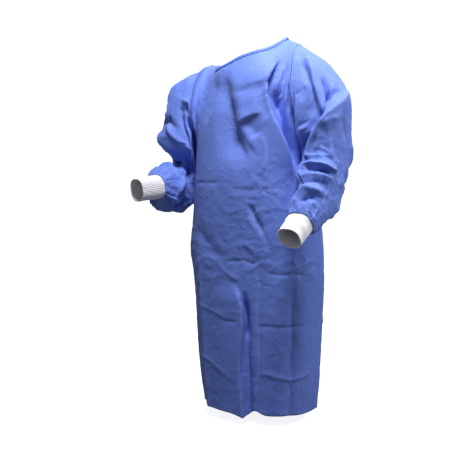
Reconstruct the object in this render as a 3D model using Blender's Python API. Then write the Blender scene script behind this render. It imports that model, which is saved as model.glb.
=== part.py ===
# A disposable surgical gown, worn, with nobody in it.
# Metres, +Z up. The wearer faces -Y and the wearer's left is +X.
# The origin is the middle of the neck base, where the shoulders carry the gown.
import math

import bmesh
import bpy
import numpy as np
from mathutils import Vector
from mathutils.bvhtree import BVHTree

for old in list(bpy.data.objects):
    bpy.data.objects.remove(old, do_unlink=True)

# driving sizes
clothWall = 0.0012        # panels and sleeves
cuffWall = 0.0020         # rib knit
bindingWall = 0.0008
seamGap = 0.0004
shoulderEase = 0.0006     # more room at the shoulder seam, where the panels meet at an angle
bindingWidth = 0.0065
bindingGap = 0.0013       # binding to the cloth inside its fold
cornerEase = 0.0022       # as much again where the neck turns at the shoulder seams
hemHeight = -1.181
underarmDrop = 6.0        # how much steeper the columns end at the underarm than at the shoulder
underarmSide = -0.10      # and how much less sideways
underarmHold = 0.04       # and how much longer they keep that way
columnHold = 0.42         # share of its length for which a column goes on as the rings below it do
rowCrowding = 0.12        # how much closer a column's rows lie at its top
chestHeight = -0.380      # below this the body is made of level rings, above it of columns
armClearance = 0.009      # sleeve to body, between the middles of their walls
underarmEase = 0.012      # as much again near the underarm
sleeveEase = 0.0018       # room for the wall at the armhole, where it meets the body at an angle
capEase = 0.018           # how far a sleeve leaves its armhole before it turns
cuffGap = 0.0012
lapHalfWidth = 0.065      # each back panel passes the middle of the back by this
lapDepth = 0.0075         # the under lap lies this far inside the outer one
backSpread = 0.4          # how much the laps' way out turns sideways with distance from the middle
backLead = 0.02           # keeps that way out level where the back is near the middle plane
cuffLength = 0.070
cuffStart = 0.97          # size of the cuff at the sleeve, as a share of the sleeve's end
cuffTaper = 0.10

neckSteps = 5             # columns from the middle of the front to the neck side
shoulderSteps = 2
armholeSteps = 8
lapSteps = 3
lapBlend = 3              # columns over which the under lap comes out to the outer one's level
ringRows = 12
upperRows = 9
sleeveRows = 18
cuffRows = 2

# the body as level rings: height, half width to the wearer's left and right, depth in front and behind
bodyRings = [
    dict(z=hemHeight, left=0.198, right=0.182, front=0.146, back=0.118),
    dict(z=-1.090, left=0.206, right=0.202, front=0.148, back=0.122),
    dict(z=-0.970, left=0.210, right=0.217, front=0.150, back=0.126),
    dict(z=-0.850, left=0.214, right=0.226, front=0.151, back=0.130),
    dict(z=-0.750, left=0.220, right=0.236, front=0.152, back=0.132),
    dict(z=-0.680, left=0.223, right=0.243, front=0.154, back=0.133),
    dict(z=-0.600, left=0.219, right=0.231, front=0.157, back=0.131),
    dict(z=-0.520, left=0.208, right=0.222, front=0.160, back=0.128),
    dict(z=-0.450, left=0.199, right=0.216, front=0.161, back=0.124),
    dict(z=chestHeight, left=0.194, right=0.212, front=0.157, back=0.121),
]
ringRoundness = 0.86      # 1 is an ellipse, less is squarer
ringRadius = 0.19         # turns the folds' angles into lengths
tangentStep = 0.05        # how far below the chest its slope is measured
foldFade = 0.25           # share of a fold's length over which each end fades

# where the hem hangs lower (+) or higher (-), by angle from the middle of the front, in degrees
hemDips = [
    dict(name="pleat edge", angle=6, half=6, drop=0.010),
    dict(name="pleat floor", angle=17, half=7, drop=-0.012),
]

# where the body's columns end at the top, from the middle of the front to the armhole:
# a column leaves its end sideways by side and down by drop for each metre forwards or backwards,
# and keeps that way for the share hold of its length
frontTopLeft = [
    dict(x=0.000, y=-0.115, z=-0.068, side=0.00, drop=1.6, hold=0.36),
    dict(x=0.050, y=-0.101, z=-0.054, side=0.15, drop=1.4, hold=0.34),
    dict(x=0.083, y=-0.068, z=-0.038, side=0.60, drop=1.3, hold=0.24),
    dict(x=0.106, y=-0.004, z=0.000, side=1.20, drop=0.8, hold=0.12),
    dict(x=0.150, y=-0.002, z=-0.030, side=0.05, drop=0.3, hold=0.32),
]
frontTopRight = [
    dict(x=0.000, y=-0.115, z=-0.068, side=0.00, drop=1.6, hold=0.36),
    dict(x=-0.052, y=-0.110, z=-0.084, side=0.15, drop=1.5, hold=0.34),
    dict(x=-0.108, y=-0.083, z=-0.088, side=0.50, drop=1.2, hold=0.24),
    dict(x=-0.146, y=-0.004, z=-0.061, side=1.20, drop=0.3, hold=0.12),
    dict(x=-0.180, y=-0.002, z=-0.050, side=0.05, drop=0.3, hold=0.32),
]
backTopLeft = [
    dict(x=0.000, y=0.086, z=-0.022, side=0.00, drop=1.5, hold=0.36),
    dict(x=0.045, y=0.078, z=-0.013, side=0.15, drop=1.4, hold=0.34),
    dict(x=0.082, y=0.050, z=-0.004, side=0.60, drop=1.2, hold=0.24),
    dict(x=0.106, y=-0.004, z=0.000, side=1.20, drop=0.8, hold=0.12),
    dict(x=0.150, y=-0.002, z=-0.030, side=0.05, drop=0.3, hold=0.32),
]
backTopRight = [
    dict(x=0.000, y=0.086, z=-0.022, side=0.00, drop=1.5, hold=0.36),
    dict(x=-0.060, y=0.080, z=-0.036, side=0.15, drop=1.4, hold=0.34),
    dict(x=-0.116, y=0.052, z=-0.053, side=0.50, drop=1.0, hold=0.24),
    dict(x=-0.146, y=-0.004, z=-0.061, side=1.20, drop=0.3, hold=0.12),
    dict(x=-0.180, y=-0.002, z=-0.050, side=0.05, drop=0.3, hold=0.32),
]
# the armhole, from the shoulder point down to the underarm
armholeFrontLeft = [
    dict(x=0.150, y=-0.002, z=-0.030),
    dict(x=0.157, y=-0.052, z=-0.058),
    dict(x=0.168, y=-0.088, z=-0.115),
    dict(x=0.172, y=-0.107, z=-0.190),
    dict(x=0.176, y=-0.093, z=-0.256),
    dict(x=0.186, y=-0.048, z=-0.294),
    dict(x=0.192, y=0.002, z=-0.304),
]
armholeFrontRight = [
    dict(x=-0.180, y=-0.002, z=-0.050),
    dict(x=-0.186, y=-0.050, z=-0.074),
    dict(x=-0.192, y=-0.084, z=-0.128),
    dict(x=-0.194, y=-0.104, z=-0.198),
    dict(x=-0.197, y=-0.091, z=-0.260),
    dict(x=-0.205, y=-0.047, z=-0.296),
    dict(x=-0.210, y=0.002, z=-0.306),
]
armholeBackLeft = [
    dict(x=0.150, y=-0.002, z=-0.030),
    dict(x=0.156, y=0.044, z=-0.052),
    dict(x=0.166, y=0.078, z=-0.108),
    dict(x=0.171, y=0.092, z=-0.180),
    dict(x=0.176, y=0.082, z=-0.246),
    dict(x=0.186, y=0.046, z=-0.290),
    dict(x=0.192, y=0.002, z=-0.304),
]
armholeBackRight = [
    dict(x=-0.180, y=-0.002, z=-0.050),
    dict(x=-0.184, y=0.044, z=-0.070),
    dict(x=-0.190, y=0.078, z=-0.122),
    dict(x=-0.193, y=0.092, z=-0.190),
    dict(x=-0.197, y=0.082, z=-0.252),
    dict(x=-0.205, y=0.046, z=-0.293),
    dict(x=-0.210, y=0.002, z=-0.306),
]

# folds of the body, as troughs (negative depth) and ridges: start and end are (angle round from the
# middle of the front in degrees, height), and both ends fade out
bodyFolds = [
    dict(name="chest trough", start=(-33, -0.090), end=(12, -0.440), width=0.030, depth=-0.011),
    dict(name="chest ridge", start=(-14, -0.110), end=(30, -0.380), width=0.028, depth=0.007),
    dict(name="side ridge", start=(33, -0.120), end=(60, -0.430), width=0.018, depth=0.012),
    dict(name="pleat edge", start=(3, -0.760), end=(6, -1.380), width=0.020, depth=0.012),
    dict(name="pleat floor", start=(17, -0.740), end=(17, -1.380), width=0.024, depth=-0.024),
    dict(name="right skirt fold", start=(-62, -0.700), end=(-52, -1.300), width=0.030, depth=-0.009),
    dict(name="back left fold", start=(132, -0.560), end=(124, -1.300), width=0.032, depth=-0.012),
    dict(name="back right fold", start=(-140, -0.600), end=(-128, -1.300), width=0.030, depth=-0.011),
    dict(name="blade fold left", start=(128, -0.180), end=(146, -0.560), width=0.026, depth=-0.009),
    dict(name="blade fold right", start=(-130, -0.160), end=(-144, -0.520), width=0.024, depth=-0.008),
]

# sleeves: outer and inner are (distance from the middle plane, height) of a ring's two ends, y its middle,
# reach its half size to front and back, pitch how far its front has turned up, in degrees
leftSleeve = [
    dict(outer=(0.254, -0.092), inner=(0.214, -0.326), y=-0.002, reach=0.106, pitch=0),
    dict(outer=(0.307, -0.188), inner=(0.206, -0.345), y=0.000, reach=0.104, pitch=0),
    dict(outer=(0.310, -0.280), inner=(0.206, -0.372), y=0.000, reach=0.102, pitch=3),
    dict(outer=(0.300, -0.372), inner=(0.212, -0.400), y=0.004, reach=0.103, pitch=8),
    dict(outer=(0.297, -0.436), inner=(0.225, -0.440), y=-0.010, reach=0.103, pitch=22),
    dict(outer=(0.295, -0.485), inner=(0.222, -0.487), y=-0.048, reach=0.093, pitch=36),
    dict(outer=(0.287, -0.530), inner=(0.207, -0.532), y=-0.090, reach=0.081, pitch=45),
    dict(outer=(0.281, -0.568), inner=(0.185, -0.569), y=-0.126, reach=0.066, pitch=50),
    dict(outer=(0.271, -0.594), inner=(0.191, -0.594), y=-0.158, reach=0.041, pitch=51),
]
rightSleeve = [
    dict(outer=(0.276, -0.094), inner=(0.232, -0.330), y=-0.006, reach=0.106, pitch=0),
    dict(outer=(0.312, -0.170), inner=(0.224, -0.346), y=-0.010, reach=0.104, pitch=0),
    dict(outer=(0.335, -0.245), inner=(0.228, -0.366), y=-0.012, reach=0.102, pitch=5),
    dict(outer=(0.360, -0.325), inner=(0.232, -0.400), y=-0.006, reach=0.094, pitch=20),
    dict(outer=(0.342, -0.400), inner=(0.236, -0.440), y=0.010, reach=0.082, pitch=44),
    dict(outer=(0.334, -0.462), inner=(0.236, -0.466), y=-0.040, reach=0.078, pitch=68),
    dict(outer=(0.337, -0.478), inner=(0.228, -0.478), y=-0.098, reach=0.078, pitch=78),
    dict(outer=(0.344, -0.480), inner=(0.226, -0.480), y=-0.146, reach=0.074, pitch=80),
    dict(outer=(0.320, -0.476), inner=(0.240, -0.476), y=-0.186, reach=0.041, pitch=80),
]
# the way each cuff points, level turn outwards in degrees
cuffTurn = {1: -8, -1: 24}
sleeveRoundness = 0.80
easeFade = 0.06           # height over which the underarm ease fades out below the chest
flatReach = 0.09          # rings reaching further than this lie flat along the body
innerSlack = 0.028        # how far such a ring may come nearer the body than its inner end
flattening = 1.6

# ties and tab at the back
tieWidth = 0.014
tieWall = 0.0012
tieLength = 0.300
tieHeight = -0.520
tieRows = 8
tieOff = 0.0032           # middle of a tie to the middle of the panel under it
tabWidth = 0.016
# the tab's run: distance down the cloth from the neck edge, and off it
tabProfile = [(0.026, 0.0040), (0.014, 0.0050), (0.002, 0.0058), (-0.005, 0.0064), (-0.009, 0.0085)]


def spline(values, t):
    """A point at t (0 to 1) on the smooth curve through evenly counted values."""
    values = np.asarray(values, dtype=float)
    last = len(values) - 1
    place = min(max(t, 0.0), 1.0) * last
    i = min(int(place), last - 1)
    f = place - i
    p1, p2 = values[i], values[i + 1]
    p0 = values[i - 1] if i > 0 else 2 * p1 - p2
    p3 = values[i + 2] if i + 2 <= last else 2 * p2 - p1
    return 0.5 * (2 * p1 + (p2 - p0) * f + (2 * p0 - 5 * p1 + 4 * p2 - p3) * f * f
                  + (3 * p1 - p0 - 3 * p2 + p3) * f ** 3)


def rowsToPoints(rows, *keys):
    return [[row[key] for key in keys] for row in rows]


def ringSizes(z):
    """Half widths and depths of the body at a height, smoothly between the rings."""
    heights = [row["z"] for row in bodyRings]
    count = np.interp(z, heights, np.arange(len(heights)))
    return spline(rowsToPoints(bodyRings, "left", "right", "front", "back"), count / (len(heights) - 1))


def ringPoint(angle, z):
    """A point of the plain body at an angle from the middle of the front, towards +X."""
    left, right, front, back = ringSizes(z)
    s, c = math.sin(angle), math.cos(angle)
    across = left if s > 0 else right
    deep = front if c > 0 else back
    x = across * math.copysign(abs(s) ** ringRoundness, s)
    y = -deep * math.copysign(abs(c) ** ringRoundness, c)
    return np.array([x, y, z])


def foldDepth(angle, z):
    """How far the folds move the body's cloth out (+) or in (-) at a place."""
    total = 0.0
    degrees = math.degrees(angle)
    for fold in bodyFolds:
        (a0, z0), (a1, z1) = fold["start"], fold["end"]
        along = (z - z0) / (z1 - z0)
        if not 0.0 < along < 1.0:
            continue
        fade = min(1.0, along / foldFade, (1.0 - along) / foldFade)
        middle = a0 + (a1 - a0) * along
        away = math.radians(degrees - middle) * ringRadius / fold["width"]
        total += fold["depth"] * fade * fade * (3 - 2 * fade) * math.exp(-away * away)
    return total


def bodyHalfWidth(side, y, z):
    """Half width of the body at a depth y and height z, zero where y is past its front or back."""
    left, right, front, back = ringSizes(max(hemHeight, min(z, chestHeight)))
    across = left if side > 0 else right
    deep = front if y < 0 else back
    ratio = min(abs(y) / deep, 1.0) ** (1.0 / ringRoundness)
    return across * math.sqrt(max(0.0, 1.0 - ratio * ratio)) ** ringRoundness


def columnEnds(side, face):
    """Upper ends of a half panel's columns, from the middle to the side seam, with their leaning."""
    tops = {(1, "front"): frontTopLeft, (-1, "front"): frontTopRight,
            (1, "back"): backTopLeft, (-1, "back"): backTopRight}[(side, face)]
    holes = {(1, "front"): armholeFrontLeft, (-1, "front"): armholeFrontRight,
             (1, "back"): armholeBackLeft, (-1, "back"): armholeBackRight}[(side, face)]
    rows = np.array(rowsToPoints(tops, "x", "y", "z", "side", "drop", "hold"))
    hole = rowsToPoints(holes, "x", "y", "z")
    ends = [spline(rows[:4], i / neckSteps) for i in range(neckSteps)]
    corner, tip = rows[3], rows[4]
    ends += [corner + (tip - corner) * i / shoulderSteps for i in range(shoulderSteps)]
    for i in range(armholeSteps + 1):
        f = i / armholeSteps
        more = [underarmSide * f, underarmDrop * math.sin(math.pi / 2 * f), underarmHold * f]
        leaning = tip[3:] + np.array(more)
        ends.append(np.concatenate([spline(hole, f), leaning]))
    return ends


def columnAngles(side, face):
    """Angles round the body of a half panel's columns, from the middle to the side seam."""
    marks = [0.0, 24.0, 38.0, 52.0, 90.0]
    counts = [0, 3, neckSteps, neckSteps + shoulderSteps, neckSteps + shoulderSteps + armholeSteps]
    total = counts[-1]
    angles = [math.radians(np.interp(i, counts, marks)) for i in range(total + 1)]
    if face == "back":
        angles = [math.pi - a for a in angles]
    return [side * a for a in angles]


def hemDrop(angle):
    """How much lower the hem hangs at an angle."""
    degrees = math.degrees(angle)
    return sum(dip["drop"] * math.exp(-((degrees - dip["angle"]) / dip["half"]) ** 2) for dip in hemDips)


def column(angle, ending, face):
    """One column of the body's cloth, from the hem up to its end."""
    end, (sideways, drop, hold) = ending[:3], ending[3:]
    points = []
    low = hemHeight - hemDrop(angle)
    for row in range(ringRows):
        z = low + (chestHeight - low) * row / ringRows
        points.append(pushed(ringPoint(angle, z), angle, z))
    start = ringPoint(angle, chestHeight)
    below = ringPoint(angle, chestHeight - tangentStep)
    rise = end[2] - start[2]
    handle = start + (start - below) / tangentStep * rise * columnHold
    forward = -1.0 if face == "front" else 1.0
    lean = np.array([math.copysign(sideways, angle), forward, -drop])
    handleTop = end + lean / np.linalg.norm(lean) * np.linalg.norm(end - start) * hold
    for row in range(upperRows + 1):
        t = row / upperRows
        t = t * (1 + rowCrowding - rowCrowding * t)
        p = ((1 - t) ** 3 * start + 3 * (1 - t) ** 2 * t * handle
             + 3 * (1 - t) * t * t * handleTop + t ** 3 * end)
        points.append(pushed(p, angle, p[2], 1.0 - t ** 4))
    return points


def pushed(point, angle, z, share=1.0):
    """The point moved out or in by the folds that pass it."""
    out = np.array([math.sin(angle), -math.cos(angle), 0.0])
    return point + out * foldDepth(angle, z) * share


def halfBody(side, face):
    """Columns of half of the front or back, from the middle to the side seam."""
    angles = columnAngles(side, face)
    ends = columnEnds(side, face)
    return [column(angle, ending, face) for angle, ending in zip(angles, ends)]


def trimmed(grid, edge):
    """The grid with one edge drawn back by half a seam gap: grid[row][column]."""
    grid = np.array(grid)
    if edge == "first":
        step = grid[:, 1] - grid[:, 0]
        grid[:, 0] += step / np.linalg.norm(step, axis=1)[:, None] * seamGap / 2
    elif edge == "last":
        step = grid[:, -2] - grid[:, -1]
        grid[:, -1] += step / np.linalg.norm(step, axis=1)[:, None] * seamGap / 2
    else:
        step = grid[-2] - grid[-1]
        grid[-1] += step / np.linalg.norm(step, axis=1)[:, None] * seamGap / 2
    return grid


def gridNormals(grid, closed):
    """Unit normals of a grid of points, by the cross product of its two directions."""
    if closed:
        around = np.roll(grid, -1, axis=1) - np.roll(grid, 1, axis=1)
    else:
        around = np.gradient(grid, axis=1)
    along = np.gradient(grid, axis=0)
    normals = np.cross(around, along)
    return normals / np.linalg.norm(normals, axis=2)[:, :, None]


def material(name, colour, roughness):
    made = bpy.data.materials.new(name)
    made.use_nodes = True
    shader = made.node_tree.nodes["Principled BSDF"]
    shader.inputs["Base Color"].default_value = (*colour, 1.0)
    shader.inputs["Roughness"].default_value = roughness
    shader.inputs["Metallic"].default_value = 0.0
    return made


def addObject(name, vertices, faces, look):
    mesh = bpy.data.meshes.new(name)
    mesh.from_pydata([tuple(v) for v in vertices], [], faces)
    mesh.materials.append(look)
    bm = bmesh.new()
    bm.from_mesh(mesh)
    bmesh.ops.recalc_face_normals(bm, faces=bm.faces)
    bm.to_mesh(mesh)
    bm.free()
    mesh.shade_smooth()
    thing = bpy.data.objects.new(name, mesh)
    bpy.context.scene.collection.objects.link(thing)
    return thing


def wall(name, grid, thickness, closed, look):
    """A closed wall of even thickness, half to each side of a grid of points."""
    grid = np.asarray(grid)
    normals = gridNormals(grid, closed)
    rows, columns = grid.shape[:2]
    outer = grid + normals * thickness / 2
    inner = grid - normals * thickness / 2
    vertices = np.concatenate([outer.reshape(-1, 3), inner.reshape(-1, 3)])
    back = rows * columns
    faces = []
    spans = columns if closed else columns - 1
    for r in range(rows - 1):
        for c in range(spans):
            d = (c + 1) % columns
            a, b = r * columns + c, r * columns + d
            e, f = (r + 1) * columns + d, (r + 1) * columns + c
            faces += [(a, b, e), (a, e, f)]
            faces += [(back + e, back + b, back + a), (back + f, back + e, back + a)]
    for r in (0, rows - 1):
        for c in range(spans):
            a, b = r * columns + c, r * columns + (c + 1) % columns
            faces += [(a, back + a, back + b), (a, back + b, b)]
    if not closed:
        for c in (0, columns - 1):
            for r in range(rows - 1):
                a, b = r * columns + c, (r + 1) * columns + c
                faces += [(a, back + a, back + b), (a, back + b, b)]
    return addObject(name, vertices, faces, look)


def gridOf(columns):
    """Columns of points as a grid[row][column]."""
    return np.array(columns).swapaxes(0, 1)


def lapped(columns, side, inside):
    """A back panel's columns carried past the middle of the back, the under one drawn inwards."""
    over = halfBody(-side, "back")
    passing = []
    for i in range(lapSteps, 0, -1):
        share = i / lapSteps * lapHalfWidth
        passing.append([pointAcross(over, row, share) for row in range(len(over[0]))])
    whole = passing + columns
    if not inside:
        return whole
    drawn = []
    for i, points in enumerate(whole):
        near = min(1.0, max(0.0, (2 * lapSteps + lapBlend - i) / lapBlend))
        near = near * near * (3 - 2 * near)
        drawn.append([p - outAtBack(p) * lapDepth * near for p in points])
    return drawn


def pointAcross(columns, row, distance):
    """The point of a row of columns at a distance from its first column, along the row."""
    line = np.array([c[row] for c in columns])
    steps = np.linalg.norm(np.diff(line, axis=0), axis=1)
    run = np.concatenate([[0.0], np.cumsum(steps)])
    return np.array([np.interp(distance, run, line[:, k]) for k in range(3)])


def outAtBack(point):
    """Unit direction out of the body at the back, level."""
    out = np.array([point[0] * backSpread, abs(point[1]) + backLead, 0.0])
    return out / np.linalg.norm(out)


def bodyGrids():
    frontLeft, frontRight = halfBody(1, "front"), halfBody(-1, "front")
    front = gridOf(frontRight[:0:-1] + frontLeft)
    backLeft = gridOf(lapped(halfBody(1, "back"), 1, False))
    backRight = gridOf(lapped(halfBody(-1, "back"), -1, True))
    return front, backLeft, backRight


def drawBackTop(grid, firstSeam, lastSeam):
    """Pulls the shoulder stretch of the top edge back from its seam, square to the seam."""
    grid = np.array(grid)
    seam = grid[-1, lastSeam] - grid[-1, firstSeam]
    seam /= np.linalg.norm(seam)
    for c in range(firstSeam, lastSeam + 1):
        step = grid[-2, c] - grid[-1, c]
        step -= seam * np.dot(step, seam)
        grid[-1, c] += step / np.linalg.norm(step) * (seamGap / 2 + shoulderEase)
    return grid


def sleeveRing(row, side, count):
    """Points of a sleeve's ring, from its outer end over the front to the inner end and back."""
    (xo, zo), (xi, zi) = row["outer"], row["inner"]
    pitch = math.radians(row["pitch"])
    middle = np.array([(xo + xi) / 2, row["y"], (zo + zi) / 2])
    half = np.array([(xo - xi) / 2, 0.0, (zo - zi) / 2])
    front = np.array([0.0, -math.cos(pitch), math.sin(pitch)]) * row["reach"]
    points = []
    for i in range(count):
        angle = 2 * math.pi * i / count
        c, s = math.cos(angle), math.sin(angle)
        p = (middle + half * math.copysign(abs(c) ** sleeveRoundness, c)
             + front * math.copysign(abs(s) ** sleeveRoundness, s))
        near = min(1.0, max(0.0, (p[2] - chestHeight + easeFade) / easeFade))
        free = bodyHalfWidth(side, p[1], p[2]) + armClearance + underarmEase * near
        if c < 0 and row["reach"] > flatReach:
            free = max(free, xi - innerSlack)
            p[0] += (free - p[0]) * min(1.0, -c * flattening)
        p[0] = max(p[0], free)
        points.append(np.array([side * p[0], p[1], p[2]]))
    return points


def armholeRing(side):
    """The armhole's points, from the shoulder down the front to the underarm and up the back."""
    front = [ending[:3] for ending in columnEnds(side, "front")][neckSteps + shoulderSteps:]
    back = [ending[:3] for ending in columnEnds(side, "back")][neckSteps + shoulderSteps:]
    return front + back[-2:0:-1]


def sleeveGrid(rows, side):
    count = 2 * armholeSteps
    seam = armholeRing(side)
    sideways = np.array([side, 0.0, 0.0])
    start = [p + sideways * (seamGap + sleeveEase) for p in seam]
    cap = [p + sideways * capEase for p in seam]
    keys = [start, cap] + [sleeveRing(row, side, count) for row in rows]
    grid = []
    for r in range(sleeveRows + 1):
        t = r / sleeveRows
        grid.append([spline([ring[i] for ring in keys], t) for i in range(count)])
    return np.array(grid)


def cuffGrid(rows, side, sleeve):
    """The cuff carries on from the sleeve's last ring, along the forearm."""
    pitch, turn = math.radians(rows[-1]["pitch"]), math.radians(cuffTurn[side])
    level = math.sin(pitch)
    forward = np.array([side * level * math.sin(turn), -level * math.cos(turn), -math.cos(pitch)])
    last = sleeve[-1]
    middle = last.mean(axis=0)
    grid = []
    for i in range(cuffRows + 1):
        t = i / cuffRows
        size = cuffStart - cuffTaper * math.sin(math.pi / 2 * t)
        start = middle + forward * (cuffGap + cuffLength * t)
        grid.append(start + (last - middle) * size)
    return np.array(grid)


def panelTree(*grids):
    """A search tree over the panels' middle surfaces."""
    points, faces = [], []
    for grid in grids:
        rows, columns = grid.shape[:2]
        first = len(points)
        points += [Vector(p) for p in grid.reshape(-1, 3)]
        for r in range(rows - 1):
            for c in range(columns - 1):
                a = first + r * columns + c
                faces += [(a, a + 1, a + columns + 1), (a, a + columns + 1, a + columns)]
    return BVHTree.FromPolygons(points, faces)


def neckLine(front, backLeft, backRight):
    """Along the neck edge: the edge, the point the binding reaches to, both normals, and any ease."""
    middle = neckSteps + shoulderSteps + armholeSteps
    corner = neckSteps + lapSteps
    stretches = [
        (backRight, list(range(0, corner + 1))),
        (front, list(range(middle - neckSteps, middle + neckSteps + 1))),
        (backLeft, list(range(corner, -1, -1))),
    ]
    edges, faces = [], []
    for grid, columns in stretches:
        for c, d in zip(columns, columns[1:]):
            face = np.cross(grid[-1, d] - grid[-1, c], grid[-2, c] + grid[-2, d] - 2 * grid[-1, c])
            edges += [grid[-1, c], (grid[-1, c] + grid[-1, d]) / 2]
            faces += [face / np.linalg.norm(face)] * 2
    edges.append(backLeft[-1, 0])
    edges = np.array(edges)
    centre = edges.mean(axis=0)
    tangents = np.gradient(edges, axis=0)
    last = 2 * (corner + 2 * neckSteps)
    rightTree, leftTree = panelTree(backRight, front), panelTree(backLeft, front)
    framed = []
    for i, edge in enumerate(edges):
        normal = faces[max(i - 1, 0)] + faces[min(i, len(faces) - 1)]
        away = (edge - centre) * np.array([1.0, 1.0, 0.0])
        normal = facing(normal, away + np.array([0.0, 0.0, 0.1]))
        down = facing(np.cross(normal, tangents[i]), away - np.array([0.0, 0.0, 0.1]))
        tree = rightTree if i <= 2 * corner else leftTree
        foot, footNormal, _, _ = tree.find_nearest(Vector(edge + down * bindingWidth))
        ease = cornerEase * max(0.0, 1 - min(abs(i - 2 * corner), abs(i - last)) / 3)
        framed.append((edge, down, normal, np.array(foot), facing(np.array(footNormal), normal), ease))
    return framed


def facing(vector, way):
    """The unit vector, turned to point the given way."""
    vector = vector / np.linalg.norm(vector)
    return vector if np.dot(vector, way) > 0 else -vector


def buildBinding(line, look):
    """A strip folded over the neck edge, following the cloth on both faces."""
    vertices, faces = [], []
    for edge, down, normal, foot, footNormal, ease in line:
        near = clothWall / 2 + bindingGap + ease
        far = near + bindingWall
        inside, top = edge - down * bindingGap, edge - down * (bindingGap + bindingWall)
        vertices += [inside - normal * near, inside + normal * near, foot + footNormal * near,
                     foot + footNormal * far, top + normal * far, top - normal * far,
                     foot - footNormal * far, foot - footNormal * near]
    count = 8
    for i in range(len(line) - 1):
        for k in range(count):
            a, b = i * count + k, i * count + (k + 1) % count
            faces += [(a, b, b + count), (a, b + count, a + count)]
    for start in (0, (len(line) - 1) * count):
        ring = [start + k for k in range(count)]
        faces.append((ring[1], ring[2], ring[3], ring[4]))
        faces.append((ring[0], ring[1], ring[4], ring[5]))
        faces.append((ring[0], ring[5], ring[6], ring[7]))
    return addObject("neck_binding", vertices, faces, look)


def lying(grid, row, column, off):
    """A point on a panel at a place between its rows and columns, moved off it."""
    normals = gridNormals(grid, False)
    rows, columns = grid.shape[:2]
    r = min(max(row, 0.0), rows - 1.001)
    c = min(max(column, 0.0), columns - 1.001)
    i, j, fr, fc = int(r), int(c), r - int(r), c - int(c)

    def blend(table):
        low = table[i, j] * (1 - fc) + table[i, j + 1] * fc
        high = table[i + 1, j] * (1 - fc) + table[i + 1, j + 1] * fc
        return low * (1 - fr) + high * fr

    point, normal = blend(grid), blend(normals)
    if normal[1] < 0:
        normal = -normal
    return point + normal / np.linalg.norm(normal) * off


def tieGrid(grid, column):
    """A tie hanging straight down a back panel from the waist."""
    rows = []
    heights = grid[:, int(column), 2]
    counts = np.arange(len(heights))
    middle = int(np.interp(tieHeight, heights, counts))
    pitch = np.linalg.norm(grid[middle, int(column) + 1] - grid[middle, int(column)])
    half = tieWidth / 2 / pitch
    for i in range(tieRows + 1):
        z = tieHeight - tieLength * i / tieRows
        row = np.interp(z, heights, counts)
        rows.append([lying(grid, row, column + share * half, tieOff) for share in (-1, 0, 1)])
    return np.array(rows)


def tabGrid(grid, column):
    """The neck tab, flat on the back panel with its end standing up past the neck edge."""
    top = len(grid) - 1
    edge = lying(grid, top, column, 0.0)
    under = lying(grid, top - 1, column, 0.0)
    down = (under - edge) / np.linalg.norm(under - edge)
    along = lying(grid, top, column + 0.3, 0.0) - lying(grid, top, column - 0.3, 0.0)
    along /= np.linalg.norm(along)
    out = np.cross(along, down)
    if out[1] + out[2] < 0:
        out = -out
    rows = []
    for distance, off in tabProfile:
        rows.append([edge + down * distance + out * off + along * tabWidth / 2 * share
                     for share in (-1, 0, 1)])
    return np.array(rows)


cloth = material("gown_cloth", (0.13, 0.22, 0.74), 0.62)
knit = material("cuff_knit", (0.86, 0.87, 0.90), 0.85)
trim = material("gown_trim", (0.12, 0.20, 0.66), 0.60)

front, backLeft, backRight = bodyGrids()
front = trimmed(trimmed(front, "first"), "last")
backLeft = trimmed(backLeft, "last")
backRight = trimmed(backRight, "last")
halfCount = neckSteps + shoulderSteps + armholeSteps
shoulderLast = neckSteps + shoulderSteps
front = drawBackTop(front, halfCount - shoulderLast, halfCount - neckSteps)
front = drawBackTop(front, halfCount + neckSteps, halfCount + shoulderLast)
backLeft = drawBackTop(backLeft, lapSteps + neckSteps, lapSteps + shoulderLast)
backRight = drawBackTop(backRight, lapSteps + neckSteps, lapSteps + shoulderLast)

wall("front_panel", front, clothWall, False, cloth)
wall("back_left_panel", backLeft, clothWall, False, cloth)
wall("back_right_panel", backRight, clothWall, False, cloth)

for side, rows, label in ((1, leftSleeve, "left"), (-1, rightSleeve, "right")):
    sleeve = sleeveGrid(rows, side)
    wall("sleeve_" + label, sleeve, clothWall, True, cloth)
    wall("cuff_" + label, cuffGrid(rows, side, sleeve), cuffWall, True, knit)

buildBinding(neckLine(front, backLeft, backRight), trim)
wall("neck_tab", tabGrid(backLeft, lapSteps + neckSteps - 0.6), tieWall, False, trim)
wall("waist_tie_left", tieGrid(backLeft, 0.5), tieWall, False, trim)
wall("waist_tie_right", tieGrid(backRight, 2 * lapSteps + 0.8), tieWall, False, trim)
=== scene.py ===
import math

import bmesh
import bpy
import numpy as np
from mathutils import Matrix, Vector, noise
from mathutils.bvhtree import BVHTree


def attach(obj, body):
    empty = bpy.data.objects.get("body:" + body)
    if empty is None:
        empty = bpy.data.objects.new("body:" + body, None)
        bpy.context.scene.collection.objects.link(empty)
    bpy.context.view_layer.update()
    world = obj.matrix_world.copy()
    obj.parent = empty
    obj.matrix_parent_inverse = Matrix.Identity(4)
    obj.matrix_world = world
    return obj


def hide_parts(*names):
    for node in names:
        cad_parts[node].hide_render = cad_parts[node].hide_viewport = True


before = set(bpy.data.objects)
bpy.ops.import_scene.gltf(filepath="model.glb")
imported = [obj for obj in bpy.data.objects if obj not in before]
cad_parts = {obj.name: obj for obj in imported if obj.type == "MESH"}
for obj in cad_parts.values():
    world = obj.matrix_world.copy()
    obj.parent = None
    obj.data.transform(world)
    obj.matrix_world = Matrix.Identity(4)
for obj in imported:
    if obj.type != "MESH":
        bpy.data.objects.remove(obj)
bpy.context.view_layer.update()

# Looks of the surgical gown: thin shells on the form of the CAD walls, with the creases of
# folded, worn nonwoven cloth. Metres, +Z up, the wearer faces -Y, the wearer's left is +X.
print("frame loaded", len(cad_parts), "nodes")


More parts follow.
